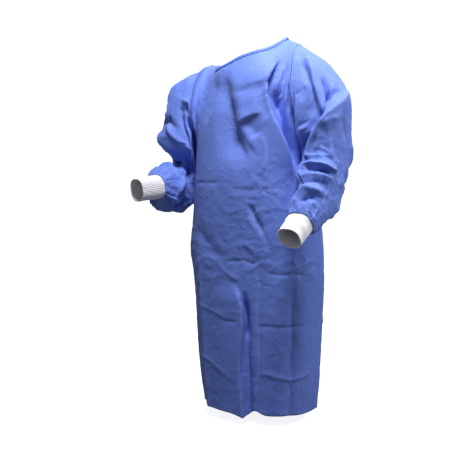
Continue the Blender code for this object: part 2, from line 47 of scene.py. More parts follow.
# the body's form, as in the CAD
body = dict(
    clothWall=0.0008,
    hem=-1.181,
    chest=-0.380,             # level rings below, columns up to the neck and armholes above
    roundness=0.86,
    lapHalfWidth=0.065,
    lapDepth=0.0075,
    lapSideways=0.4,          # how far the lap's way in follows x
    handleShare=0.42,         # how far the columns carry on upwards before they bend
    slopeStep=0.05,
    fineness=5,               # columns for each CAD column
    lowRows=196,
    topRows=92,
)
# height, half width to the wearer's left and right, depth in front and behind
bodyRings = [
    (-1.181, 0.198, 0.182, 0.146, 0.118),
    (-1.090, 0.206, 0.202, 0.148, 0.122),
    (-0.970, 0.210, 0.217, 0.150, 0.126),
    (-0.850, 0.214, 0.226, 0.151, 0.130),
    (-0.750, 0.220, 0.236, 0.152, 0.132),
    (-0.680, 0.223, 0.243, 0.154, 0.133),
    (-0.600, 0.219, 0.231, 0.157, 0.131),
    (-0.520, 0.208, 0.222, 0.160, 0.128),
    (-0.450, 0.199, 0.216, 0.161, 0.124),
    (-0.380, 0.194, 0.212, 0.157, 0.121),
]
hemDips = [(6, 6, 0.010), (17, 7, -0.012)]      # angle and half width in degrees, how far down
# x, y and z where the columns end, from the middle to the neck side and on to the shoulder point,
# then the way they leave there: sideways and down for each metre forwards, and for what share
columnTops = {
    (1, "front"): [
        (0.000, -0.115, -0.068, 0.00, 1.6, 0.36),
        (0.050, -0.101, -0.054, 0.15, 1.4, 0.34),
        (0.083, -0.068, -0.038, 0.60, 1.3, 0.24),
        (0.106, -0.004, 0.000, 1.20, 0.8, 0.12),
        (0.150, -0.002, -0.022, 0.05, 0.3, 0.32),
    ],
    (-1, "front"): [
        (0.000, -0.115, -0.068, 0.00, 1.6, 0.36),
        (-0.052, -0.110, -0.084, 0.15, 1.5, 0.34),
        (-0.108, -0.083, -0.088, 0.50, 1.2, 0.24),
        (-0.146, -0.004, -0.061, 1.20, 0.3, 0.12),
        (-0.180, -0.002, -0.050, 0.05, 0.3, 0.32),
    ],
    (1, "back"): [
        (0.000, 0.086, -0.022, 0.00, 1.5, 0.36),
        (0.045, 0.078, -0.013, 0.15, 1.4, 0.34),
        (0.082, 0.050, -0.004, 0.60, 1.2, 0.24),
        (0.106, -0.004, 0.000, 1.20, 0.8, 0.12),
        (0.150, -0.002, -0.022, 0.05, 0.3, 0.32),
    ],
    (-1, "back"): [
        (0.000, 0.086, -0.022, 0.00, 1.5, 0.36),
        (-0.060, 0.080, -0.036, 0.15, 1.4, 0.34),
        (-0.116, 0.052, -0.053, 0.50, 1.0, 0.24),
        (-0.146, -0.004, -0.061, 1.20, 0.3, 0.12),
        (-0.180, -0.002, -0.050, 0.05, 0.3, 0.32),
    ],
}
# x, y and z down round each armhole, from the shoulder point to the underarm
armholes = {
    (1, "front"): [
        (0.150, -0.002, -0.022),
        (0.157, -0.052, -0.058),
        (0.168, -0.088, -0.115),
        (0.172, -0.107, -0.190),
        (0.176, -0.093, -0.256),
        (0.186, -0.048, -0.294),
        (0.192, 0.002, -0.304),
    ],
    (-1, "front"): [
        (-0.180, -0.002, -0.050),
        (-0.186, -0.050, -0.074),
        (-0.192, -0.084, -0.128),
        (-0.194, -0.104, -0.198),
        (-0.197, -0.091, -0.260),
        (-0.205, -0.047, -0.296),
        (-0.210, 0.002, -0.306),
    ],
    (1, "back"): [
        (0.150, -0.002, -0.022),
        (0.156, 0.044, -0.052),
        (0.166, 0.078, -0.108),
        (0.171, 0.092, -0.180),
        (0.176, 0.082, -0.246),
        (0.186, 0.046, -0.290),
        (0.192, 0.002, -0.304),
    ],
    (-1, "back"): [
        (-0.180, -0.002, -0.050),
        (-0.184, 0.044, -0.070),
        (-0.190, 0.078, -0.122),
        (-0.193, 0.092, -0.190),
        (-0.197, 0.082, -0.252),
        (-0.205, 0.046, -0.293),
        (-0.210, 0.002, -0.306),
    ],
}
# counts of CAD columns: neck, shoulder and armhole
neckColumns, shoulderColumns, armholeColumns = 5, 2, 8
allColumns = neckColumns + shoulderColumns + armholeColumns
lapColumns = 3
underarmLean = (-0.10, 6.0, 0.04)               # how the columns' leaning changes down an armhole


def splineAt(values, place):
    # the smooth curve through evenly counted values, at places from 0 to their count less one
    values = np.asarray(values, float)
    place = np.clip(np.atleast_1d(place), 0, len(values) - 1)
    i = np.minimum(place.astype(int), len(values) - 2)
    f = (place - i)[:, None]
    more = np.vstack([2 * values[0] - values[1], values, 2 * values[-1] - values[-2]])
    p0, p1, p2, p3 = more[i], more[i + 1], more[i + 2], more[i + 3]
    return 0.5 * (2 * p1 + (p2 - p0) * f + (2 * p0 - 5 * p1 + 4 * p2 - p3) * f * f
                  + (3 * p1 - p0 - 3 * p2 + p3) * f ** 3)


def unit(vectors):
    return vectors / np.maximum(np.linalg.norm(vectors, axis=-1, keepdims=True), 1e-9)


def easeInOut(t):
    return t * t * (3 - 2 * t)


def running(lengths):
    return np.concatenate([[0.0], np.cumsum(lengths)])


def signedPower(value, power):
    return np.copysign(np.abs(value) ** power, value)


def ringSizes(z):
    rings = np.array(bodyRings)
    return splineAt(rings[:, 1:], np.interp(z, rings[:, 0], np.arange(len(rings))))


def ringPoints(angle, z):
    # points of the plain body, at angles from the middle of the front towards +X
    left, right, front, back = ringSizes(z).T
    s, c = np.sin(angle), np.cos(angle)
    x = np.where(s > 0, left, right) * signedPower(s, body["roundness"])
    y = -np.where(c > 0, front, back) * signedPower(c, body["roundness"])
    return np.stack([x, y, z], axis=1)


def columnEnds(side, face, place):
    # upper ends of a half panel's columns and their leaning, at places counted in CAD columns
    tops, hole = np.array(columnTops[(side, face)]), np.array(armholes[(side, face)])
    neck = splineAt(tops[:4], place / neckColumns * 3)
    corner, tip = tops[3], tops[4]
    along = np.clip((place - neckColumns) / shoulderColumns, 0, 1)[:, None]
    shoulder = corner + (tip - corner) * along
    f = np.clip((place - neckColumns - shoulderColumns) / armholeColumns, 0, 1)
    sideways, drop, hold = underarmLean
    leaning = tip[3:] + np.stack([sideways * f, drop * np.sin(math.pi / 2 * f), hold * f], axis=1)
    down = np.hstack([splineAt(hole, f * (len(hole) - 1)), leaning])
    place = place[:, None]
    upper = np.where(place <= neckColumns + shoulderColumns, shoulder, down)
    return np.where(place <= neckColumns, neck, upper)


def columnAngles(side, face, place):
    marks = np.radians([0, 24, 38, 52, 90])
    angle = np.interp(place, [0, 3, neckColumns, neckColumns + shoulderColumns, allColumns], marks)
    if face == "back":
        angle = math.pi - angle
    return side * angle


def hemDrop(angle):
    degrees = np.degrees(angle)
    return sum(drop * np.exp(-((degrees - middle) / half) ** 2) for middle, half, drop in hemDips)


def halfPanel(side, face):
    # grid[row][column] of points, with each point's angle and height, from the middle to the side seam
    place = np.arange(allColumns * body["fineness"] + 1) / body["fineness"]
    angle = columnAngles(side, face, place)
    ends = columnEnds(side, face, place)
    chest, hem = body["chest"], body["hem"]
    low = hem - hemDrop(angle)
    rows = []
    for r in range(body["lowRows"]):
        rows.append(ringPoints(angle, low + (chest - low) * r / body["lowRows"]))
    level = np.full(len(angle), chest)
    start = ringPoints(angle, level)
    below = ringPoints(angle, level - body["slopeStep"])
    end, sideways, drop, hold = ends[:, :3], ends[:, 3], ends[:, 4], ends[:, 5]
    rise = (end[:, 2] - start[:, 2])[:, None]
    handle = start + (start - below) / body["slopeStep"] * rise * body["handleShare"]
    under = np.clip((place - neckColumns - shoulderColumns) / armholeColumns, 0, 1)
    forward = (1 - under ** 4) * (-1.0 if face == "front" else 1.0)
    lean = np.stack([np.copysign(sideways, angle), forward, -drop], axis=1)
    handleTop = end + unit(lean) * (np.linalg.norm(end - start, axis=1) * hold)[:, None]
    for r in range(body["topRows"] + 1):
        t = r / body["topRows"]
        t = t * (1.12 - 0.12 * t)             # closer together towards the top
        rows.append((1 - t) ** 3 * start + 3 * (1 - t) ** 2 * t * handle
                    + 3 * (1 - t) * t * t * handleTop + t ** 3 * end)
    grid = np.array(rows)
    return grid, np.broadcast_to(angle, grid.shape[:2]).copy(), grid[:, :, 2].copy()


# sleeves: clear is how far they keep from the body, tuck how far a wide ring may reach inwards
sleeves = dict(wall=0.0008, rows=150, around=168, roundness=0.80, capEase=0.018, capFall=0.012, start=0.0022,
               clear=0.009, clearUpper=0.012, nearReach=0.06, tuck=0.028, wideReach=0.09)
# each ring: its outer and its inner end as distance from the middle plane and height, its y, its
# half size to front and back, and how many degrees its front has turned up
sleeveRings = {
    1: [
        (0.250, -0.099, 0.214, -0.326, -0.002, 0.106, 0),
        (0.304, -0.190, 0.206, -0.345, 0.000, 0.104, 0),
        (0.310, -0.280, 0.206, -0.372, 0.000, 0.102, 3),
        (0.300, -0.372, 0.212, -0.400, 0.004, 0.103, 8),
        (0.297, -0.436, 0.225, -0.440, -0.010, 0.103, 22),
        (0.295, -0.485, 0.222, -0.487, -0.048, 0.093, 36),
        (0.287, -0.530, 0.207, -0.532, -0.090, 0.081, 45),
        (0.281, -0.568, 0.185, -0.569, -0.126, 0.066, 50),
        (0.271, -0.594, 0.191, -0.594, -0.158, 0.041, 51),
    ],
    -1: [
        (0.276, -0.094, 0.232, -0.330, -0.006, 0.106, 0),
        (0.312, -0.170, 0.224, -0.346, -0.010, 0.104, 0),
        (0.335, -0.245, 0.228, -0.366, -0.012, 0.102, 5),
        (0.360, -0.325, 0.232, -0.400, -0.006, 0.094, 20),
        (0.342, -0.400, 0.236, -0.440, 0.010, 0.082, 44),
        (0.334, -0.462, 0.236, -0.466, -0.040, 0.078, 68),
        (0.337, -0.478, 0.228, -0.478, -0.098, 0.078, 78),
        (0.344, -0.480, 0.226, -0.480, -0.146, 0.074, 80),
        (0.320, -0.476, 0.240, -0.476, -0.186, 0.041, 80),
    ],
}


def bodyHalfWidth(side, y, z):
    left, right, front, back = ringSizes(np.clip(z, body["hem"], body["chest"])).T
    across = left if side > 0 else right
    deep = np.where(y < 0, front, back)
    ratio = np.minimum(np.abs(y) / deep, 1.0) ** (1.0 / body["roundness"])
    return across * np.sqrt(np.maximum(0.0, 1.0 - ratio * ratio)) ** body["roundness"]


def sleeveRing(row, side, turn):
    # points of a ring at turns from 0 to 1: the outer end, the front, the inner end, the back
    xo, zo, xi, zi, y, reach, pitch = row
    pitch = math.radians(pitch)
    middle = np.array([(xo + xi) / 2, y, (zo + zi) / 2])
    half = np.array([(xo - xi) / 2, 0.0, (zo - zi) / 2])
    front = np.array([0.0, -math.cos(pitch), math.sin(pitch)]) * reach
    c, s = np.cos(2 * math.pi * turn), np.sin(2 * math.pi * turn)
    power = sleeves["roundness"]
    p = middle + half * signedPower(c, power)[:, None] + front * signedPower(s, power)[:, None]
    near = np.clip((p[:, 2] - body["chest"] + sleeves["nearReach"]) / sleeves["nearReach"], 0, 1)
    free = bodyHalfWidth(side, p[:, 1], p[:, 2]) + sleeves["clear"] + sleeves["clearUpper"] * near
    if reach > sleeves["wideReach"]:
        slack = np.maximum(free, xi - sleeves["tuck"])
        free = np.where(c < 0, slack, free)
        p[:, 0] += np.where(c < 0, (free - p[:, 0]) * np.minimum(1.0, -c * 1.6), 0.0)
    p[:, 0] = np.maximum(p[:, 0], free)
    p[:, 0] *= side
    return p


def sleeveGrid(side):
    count = sleeves["around"]
    turn = np.arange(count) / count
    half = count // 2
    place = neckColumns + shoulderColumns + np.arange(half + 1) / half * armholeColumns
    front = columnEnds(side, "front", place)[:, :3]
    back = columnEnds(side, "back", place)[:, :3]
    seam = np.vstack([front, back[-2:0:-1]])
    sideways = np.array([side, 0.0, 0.0])
    over = seam + sideways * sleeves["capEase"]
    over[:, 2] -= sleeves["capFall"] * np.clip((seam[:, 2] + 0.12) / 0.08, 0, 1)
    keys = [seam + sideways * sleeves["start"], over]
    keys += [sleeveRing(row, side, turn) for row in sleeveRings[side]]
    keys = np.array(keys)
    along = np.arange(sleeves["rows"] + 1) / sleeves["rows"]
    flat = splineAt(keys.reshape(len(keys), -1), along * (len(keys) - 1))
    return flat.reshape(len(along), count, 3), along, turn


# creases: each follows a path over the unrolled cloth. Its row gives how far it goes out (+) or
# in (-), how far it reaches on the left or lower side and on the right or upper side of its path,
# all in millimetres, how sharp its line is, and its places. Lean pushes the crest to one side
# (mm), ends are the shares of it that fade, and grow is its size at the far end
def creases(rows, pathOf):
    made = []
    for depth, low, high, crisp, places, *more in rows:
        fold = dict(lean=0, ends=(0.25, 0.25), grow=1.0)
        fold.update(more[0] if more else {})
        fold.update(path=pathOf(places), depth=depth / 1000, width=(low / 1000, high / 1000), crisp=crisp)
        fold["lean"] /= 1000
        made.append(fold)
    return made


# how wide a crease's rubbed line is, the depth that rubs it fully, and how steep a crisp one is
rubbed = dict(reach=0.0035, depth=0.004, steepness=1.6)


def creaseField(u, v, folds, wrap=None):
    # for every cloth point: the way out, the shift along u and v, and how sharply creased it is
    out, shiftU, shiftV, sharp = (np.zeros(u.shape) for _ in range(4))
    for fold in folds:
        path = np.array(fold["path"], float)
        steps = np.diff(path, axis=0)
        if wrap:
            steps[:, 0] -= wrap * np.round(steps[:, 0] / wrap)
        lengths = np.linalg.norm(steps, axis=1)
        total = lengths.sum()
        runs = running(lengths)
        best = np.full(u.shape, np.inf)
        signed, share = np.zeros(u.shape), np.zeros(u.shape)
        wayU, wayV = np.zeros(u.shape), np.zeros(u.shape)
        for i, (du, dv) in enumerate(steps / lengths[:, None]):
            ru, rv = u - path[i, 0], v - path[i, 1]
            if wrap:
                ru = ru - wrap * np.round(ru / wrap)
            reach = ru * du + rv * dv
            held = np.clip(reach, 0.0, lengths[i])
            away = np.hypot(ru - held * du, rv - held * dv)
            nearer = away < best
            side = np.where(du * rv - dv * ru >= 0, 1.0, -1.0)
            best = np.where(nearer, away, best)
            signed = np.where(nearer, away * side, signed)
            share = np.where(nearer, (runs[i] + held) / total, share)
            wayU, wayV = np.where(nearer, -dv, wayU), np.where(nearer, du, wayV)
        low, high = fold["width"]
        size = np.where(signed < 0, low, high) * (1.0 + (fold["grow"] - 1.0) * share)
        ratio = np.abs(signed) / size
        shape = (1 - fold["crisp"]) * np.exp(-ratio ** 2) + fold["crisp"] * np.exp(-rubbed["steepness"] * ratio)
        first, last = fold["ends"]
        fade = np.clip(share / max(first, 1e-6), 0, 1) * np.clip((1 - share) / max(last, 1e-6), 0, 1)
        fade = easeInOut(fade)
        if first == 0:
            fade = np.where(share <= 0, np.exp(-(best / max(low, high)) ** 2), fade)
        shape = shape * fade * (1.0 + (fold["grow"] - 1.0) * share)
        out += fold["depth"] * shape
        shiftU += fold["lean"] * shape * wayU
        shiftV += fold["lean"] * shape * wayV
        line = fold["crisp"] * fade * np.exp(-(best / rubbed["reach"]) ** 2)
        sharp += line * min(1.0, abs(fold["depth"]) / rubbed["depth"])
    return out, shiftU, shiftV, sharp


def crumples(points, size, seed):
    # sharp lines like those of handled paper: 0 on the lines, up to 1 between them
    both = softNoise(points, size, seed) + 0.3 * softNoise(points, size * 0.4, seed + 20)
    return np.minimum(np.abs(both) * 3.0, 1.0)


def softNoise(points, size, seed):
    where = Vector((seed * 2.3, seed * 4.1, seed * 0.7))
    values = [noise.noise(Vector(p) / size + where) for p in points.reshape(-1, 3)]
    return np.array(values).reshape(points.shape[:-1])


# handling: sizes, depths and seeds of the large and small crumples and of a slow roll, how far
# the cloth is worn everywhere, and how the roll is drawn out
handling = dict(
    panel=dict(sizes=(0.052, 0.026, 0.13), depths=(1.7, 1.1, 0.0016), seeds=(1, 2, 3), wear=0.0004,
               drawn=(1.0, 1.0, 0.6)),
    sleeve=dict(sizes=(0.050, 0.026, 0.11), depths=(2.8, 1.4, 0.0030), seeds=(4, 7, 9), wear=0.0006,
                drawn=(1.0, 1.0, 1.0)),
    line=0.004,               # wear that rubs a crumple's line fully pale
)


def handled(grid, out, sharp, wear, kind, side=0):
    # crumples as deep as the cloth is worn, and the roll
    sizes, depths, seeds = (handling[kind][key] for key in ("sizes", "depths", "seeds"))
    large, small = crumples(grid, sizes[0], seeds[0] + side), crumples(grid, sizes[1], seeds[1] + side)
    out += wear * (depths[0] * (0.5 - large) + depths[1] * (0.5 - small))
    sharp += np.clip(1 - large * 3.5, 0, 1) * wear / handling["line"]
    out += depths[2] * softNoise(grid * np.array(handling[kind]["drawn"]), sizes[2], seeds[2] + side)


def rounded(values, times, directions=False):
    # a run of points or directions, smoothed between its ends
    for _ in range(times):
        values[1:-1] = (values[:-2] + values[2:]) / 4 + values[1:-1] / 2
        if directions:
            values[:] = unit(values)


def gridNormals(grid, closed):
    if closed:
        around = np.roll(grid, -1, axis=1) - np.roll(grid, 1, axis=1)
    else:
        around = np.gradient(grid, axis=1)
    return unit(np.cross(around, np.gradient(grid, axis=0)))


def eased(grid, closed, rounds, keep):
    # evens the cloth out, held where keep is 1
    for _ in range(rounds):
        if closed:
            across = (np.roll(grid, 1, axis=1) + np.roll(grid, -1, axis=1)) / 2
        else:
            across = grid.copy()
            across[:, 1:-1] = (grid[:, :-2] + grid[:, 2:]) / 2
        along = grid.copy()
        along[1:-1] = (grid[:-2] + grid[2:]) / 2
        grid = grid * keep[:, :, None] + ((across + along) / 2) * (1 - keep[:, :, None])
    return grid


def clothRun(grid, axis):
    # mean running length of the cloth along one way of the grid
    return running(np.linalg.norm(np.diff(grid, axis=axis), axis=2).mean(axis=1 - axis))


def placed(name, mesh, look):
    mesh.materials.append(look)
    made = bpy.data.objects.new(name, mesh)
    bpy.context.scene.collection.objects.link(made)
    return made


def addShell(name, grid, wall, closed, look, sharp=None, outward=None, inner=None):
    # a closed shell of even thickness about a grid of points, with a UV map in metres
    normals = gridNormals(grid, closed)
    if outward is None:
        outward = grid - grid.mean(axis=1, keepdims=True)
    flip = (normals * outward).sum() < 0
    if flip:
        normals = -normals
    rows, columns = grid.shape[:2]
    inner = grid - normals * wall / 2 if inner is None else inner
    outer = grid + normals * wall / 2
    vertices = np.concatenate([outer.reshape(-1, 3), inner.reshape(-1, 3)])
    back = rows * columns
    spans = columns if closed else columns - 1
    r, c = np.meshgrid(np.arange(rows - 1), np.arange(spans), indexing="ij")
    d = (c + 1) % columns
    quads = np.stack([r * columns + c, r * columns + d, (r + 1) * columns + d, (r + 1) * columns + c], axis=2)
    quads = quads.reshape(-1, 4)
    rims = []
    for row, turned in ((0, True), (rows - 1, False)):
        a = row * columns + np.arange(spans)
        b = row * columns + (np.arange(spans) + 1) % columns
        rim = np.stack([a, b, back + b, back + a], axis=1)
        rims.append(rim[:, ::-1] if turned else rim)
    if not closed:
        for column, turned in ((0, False), (columns - 1, True)):
            a = np.arange(rows - 1) * columns + column
            rim = np.stack([a, a + columns, back + a + columns, back + a], axis=1)
            rims.append(rim[:, ::-1] if turned else rim)
    faces = np.concatenate([quads, back + quads[:, ::-1]] + rims)
    if flip:
        faces = faces[:, ::-1]
    mesh = bpy.data.meshes.new(name)
    mesh.from_pydata(vertices.tolist(), [], faces.tolist())
    smooth = np.zeros(len(faces), bool)
    smooth[:2 * len(quads)] = True
    mesh.polygons.foreach_set("use_smooth", smooth)
    across, along = clothRun(grid, 1), clothRun(grid, 0)
    u = np.broadcast_to(across[None, :columns], (rows, columns)).reshape(-1)
    v = np.broadcast_to(along[:, None], (rows, columns)).reshape(-1)
    uv = np.stack([np.concatenate([u, u]), np.concatenate([v, v])], axis=1)
    layer = mesh.uv_layers.new(name="cloth")
    corners = faces.reshape(-1)
    cornerUv = uv[corners]
    if closed:
        girth = across[-1] + across[1]
        first = corners.reshape(-1, 4)
        low = (first % columns == 0) & ((first % columns).max(axis=1, keepdims=True) == columns - 1)
        cornerUv[:, 0] += np.where(low.reshape(-1), girth, 0.0)
    layer.data.foreach_set("uv", cornerUv.astype(np.float32).reshape(-1))
    values = np.zeros(rows * columns) if sharp is None else np.clip(sharp, 0, 1).reshape(-1)
    mark = mesh.attributes.new("crease", "FLOAT", "POINT")
    mark.data.foreach_set("value", np.concatenate([values, values]).astype(np.float32))
    mesh.update()
    return placed(name, mesh, look)


def stand(piece, node):
    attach(piece, "root")
    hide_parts(node)
    return piece


# finishes of the cloth
finish = dict(
    cloth=dict(light=(0.158, 0.250, 0.760), dark=(0.122, 0.202, 0.670), line=(0.27, 0.38, 0.88)),
    trim=dict(light=(0.120, 0.215, 0.760), dark=(0.085, 0.160, 0.640), line=(0.26, 0.38, 0.90)),
    # knit: light on the rib crests, dark as painted shade in the grooves between the ribs
    knit=dict(light=(0.95, 0.945, 0.97), dark=(0.80, 0.79, 0.87)),
)


def newLook(name, values):
    look = bpy.data.materials.new(name)
    look.use_nodes = True
    shader = look.node_tree.nodes["Principled BSDF"]
    for key, value in values.items():
        shader.inputs[key].default_value = value
    return look, look.node_tree, shader.inputs


def node(tree, kind, place, give, inputs=None, **settings):
    # a node with its constants and links, of which the output named give is handed back
    made = tree.nodes.new(kind)
    made.location = place
    for key, value in settings.items():
        setattr(made, key, value)
    for key, value in (inputs or {}).items():
        if isinstance(value, bpy.types.NodeSocket):
            tree.links.new(value, made.inputs[key])
        else:
            made.inputs[key].default_value = value
    return made.outputs[give]


def ramp(tree, place, fac, stops):
    made = tree.nodes.new("ShaderNodeValToRGB")
    made.location = place
    band = made.color_ramp
    while len(band.elements) < len(stops):
        band.elements.new(0.5)
    for element, (at, colour) in zip(band.elements, stops):
        element.position = at
        element.color = (*colour, 1.0)
    tree.links.new(fac, made.inputs["Fac"])
    return made.outputs["Color"]


def nonwoven(name, colours, roughness, bondDepth, creaseDepth):
    # spunbond cloth: cloudy fibres, rows of fine bond points, pale lines where it was creased
    look, tree, shader = newLook(name, {
        "Roughness": roughness, "Sheen Weight": 0.14, "Sheen Roughness": 0.45,
        "Sheen Tint": (0.72, 0.78, 1.0, 1.0), "Specular IOR Level": 0.26})
    uv = node(tree, "ShaderNodeUVMap", (-1500, 0), "UV", uv_map="cloth")
    stretched = node(tree, "ShaderNodeMapping", (-1300, 200), "Vector",
                     {"Vector": uv, "Scale": (1.0, 0.7, 1.0)})
    clouds = node(tree, "ShaderNodeTexNoise", (-1100, 300), "Fac",
                  {"Vector": stretched, "Scale": 230.0, "Detail": 6.0, "Roughness": 0.62})
    tone = ramp(tree, (-880, 300), clouds, [(0.32, colours["dark"]), (0.68, colours["light"])])
    wide = node(tree, "ShaderNodeTexNoise", (-1100, 560), "Fac", {"Vector": uv, "Scale": 9.0, "Detail": 3.0})
    shade = node(tree, "ShaderNodeMapRange", (-860, 560), "Result",
                 {"Value": wide, "From Min": 0.3, "From Max": 0.7, "To Min": 0.94, "To Max": 1.06})
    wash = node(tree, "ShaderNodeHueSaturation", (-600, 300), "Color", {"Value": shade, "Color": tone})
    # bond points in a diamond lattice, over the fibres
    lattice = node(tree, "ShaderNodeMapping", (-1300, -200), "Vector",
                   {"Vector": uv, "Rotation": (0.0, 0.0, math.radians(45))})
    bonds = node(tree, "ShaderNodeTexVoronoi", (-1100, -200), "Distance",
                 {"Vector": lattice, "Scale": 560.0, "Randomness": 0.08}, voronoi_dimensions="2D", feature="F1")
    points = node(tree, "ShaderNodeMapRange", (-880, -200), "Result",
                  {"Value": bonds, "From Min": 0.18, "From Max": 0.38}, interpolation_type="SMOOTHSTEP")
    fibres = node(tree, "ShaderNodeTexNoise", (-1100, -480), "Fac",
                  {"Vector": stretched, "Scale": 900.0, "Detail": 4.0})
    height = node(tree, "ShaderNodeMath", (-640, -300), "Value", {0: fibres, 1: 0.55, 2: points},
                  operation="MULTIPLY_ADD")
    # fine creases from handling, in patches
    drift = node(tree, "ShaderNodeTexNoise", (-1500, -760), "Color",
                 {"Vector": uv, "Scale": 24.0, "Detail": 3.0})
    bent = node(tree, "ShaderNodeVectorMath", (-1300, -760), "Vector",
                {0: drift, 1: (0.040, 0.030, 0.0), 2: uv}, operation="MULTIPLY_ADD")
    facets = node(tree, "ShaderNodeTexVoronoi", (-1100, -760), "Distance", {"Vector": bent, "Scale": 30.0},
                  voronoi_dimensions="2D", feature="DISTANCE_TO_EDGE")
    folded = node(tree, "ShaderNodeMapRange", (-880, -760), "Result",
                  {"Value": facets, "From Max": 0.075, "To Min": 1.0, "To Max": 0.0},
                  interpolation_type="SMOOTHSTEP")
    patches = node(tree, "ShaderNodeTexNoise", (-1100, -1040), "Fac",
                   {"Vector": uv, "Scale": 8.0, "Detail": 7.0, "Roughness": 0.80})
    where = node(tree, "ShaderNodeMapRange", (-880, -1040), "Result",
                 {"Value": patches, "From Min": 0.49, "From Max": 0.62}, interpolation_type="SMOOTHSTEP")
    lines = node(tree, "ShaderNodeMath", (-660, -860), "Value", {0: folded, 1: where}, operation="MULTIPLY")
    creased = node(tree, "ShaderNodeBump", (-640, -600), "Normal",
                   {"Strength": 0.7, "Distance": creaseDepth, "Height": lines})
    bump = node(tree, "ShaderNodeBump", (-420, -300), "Normal",
                {"Strength": 0.35, "Distance": bondDepth, "Height": height, "Normal": creased})
    tree.links.new(bump, shader["Normal"])
    # creases rub pale
    mark = node(tree, "ShaderNodeAttribute", (-860, 40), "Fac", attribute_name="crease")
    worn = node(tree, "ShaderNodeMath", (-640, 60), "Value", {0: mark, 1: 0.32}, operation="MULTIPLY")
    pale = node(tree, "ShaderNodeMix", (-360, 260), "Result",
                {"Factor": worn, "A": wash, "B": (*colours["line"], 1.0)}, data_type="RGBA")
    # the bond points are pressed to film, a little deeper in colour
    pressed = node(tree, "ShaderNodeMath", (-360, 40), "Value", {0: 1.0, 1: points}, operation="SUBTRACT")
    film = node(tree, "ShaderNodeMix", (-160, 260), "Result",
                {"Factor": pressed, "A": pale, "B": (0.86, 0.88, 0.94, 1.0)},
                data_type="RGBA", blend_type="MULTIPLY")
    tree.links.new(film, shader["Base Color"])
    return look


def ribKnit(name, colours):
    # knit stitches as a bump along the modelled ribs, with painted shade greying the grooves between them
    look, tree, shader = newLook(name, {
        "Roughness": 0.88, "Sheen Weight": 0.35, "Sheen Roughness": 0.6, "Specular IOR Level": 0.2})
    uv = node(tree, "ShaderNodeUVMap", (-1300, 0), "UV", uv_map="cloth")
    # the rib marks run from 0 in the grooves to 1 on the crests; the grooves get the dark colour as painted
    # shade
    rib = node(tree, "ShaderNodeAttribute", (-900, 300), "Fac", attribute_name="crease")
    tone = ramp(tree, (-640, 300), rib, [(0.0, colours["dark"]), (0.8, colours["light"])])
    rows = node(tree, "ShaderNodeTexWave", (-900, -100), "Fac",
                {"Vector": uv, "Scale": 150.0, "Distortion": 1.2, "Detail": 2.0},
                wave_type="BANDS", bands_direction="Y")
    fuzz = node(tree, "ShaderNodeTexNoise", (-900, -420), "Fac", {"Vector": uv, "Scale": 1400.0, "Detail": 4.0})
    height = node(tree, "ShaderNodeMath", (-640, -200), "Value", {0: fuzz, 1: 0.4, 2: rows},
                  operation="MULTIPLY_ADD")
    bump = node(tree, "ShaderNodeBump", (-400, -200), "Normal",
                {"Strength": 0.5, "Distance": 0.0004, "Height": height})
    tree.links.new(bump, shader["Normal"])
    tree.links.new(tone, shader["Base Color"])
    return look


clothLook = nonwoven("gown_cloth_spunbond", finish["cloth"], roughness=0.64, bondDepth=0.00018,
                     creaseDepth=0.0016)
trimLook = nonwoven("gown_trim_tape", finish["trim"], roughness=0.56, bondDepth=0.00018,
                    creaseDepth=0.0003)
knitLook = ribKnit("cuff_rib_knit", finish["knit"])
print("finishes made")


# body panels
unroll = 0.18                 # metres of cloth for each radian round the body
# each panel is drawn back by the gap, and the front's allowance lies this far under the back
seam = dict(gap=0.0003, under=0.0026, columns=3, topGap=0.0004, topRows=9)


def bodyPath(places):
    return [(math.radians(degrees) * unroll, z / 1000) for degrees, z in places]


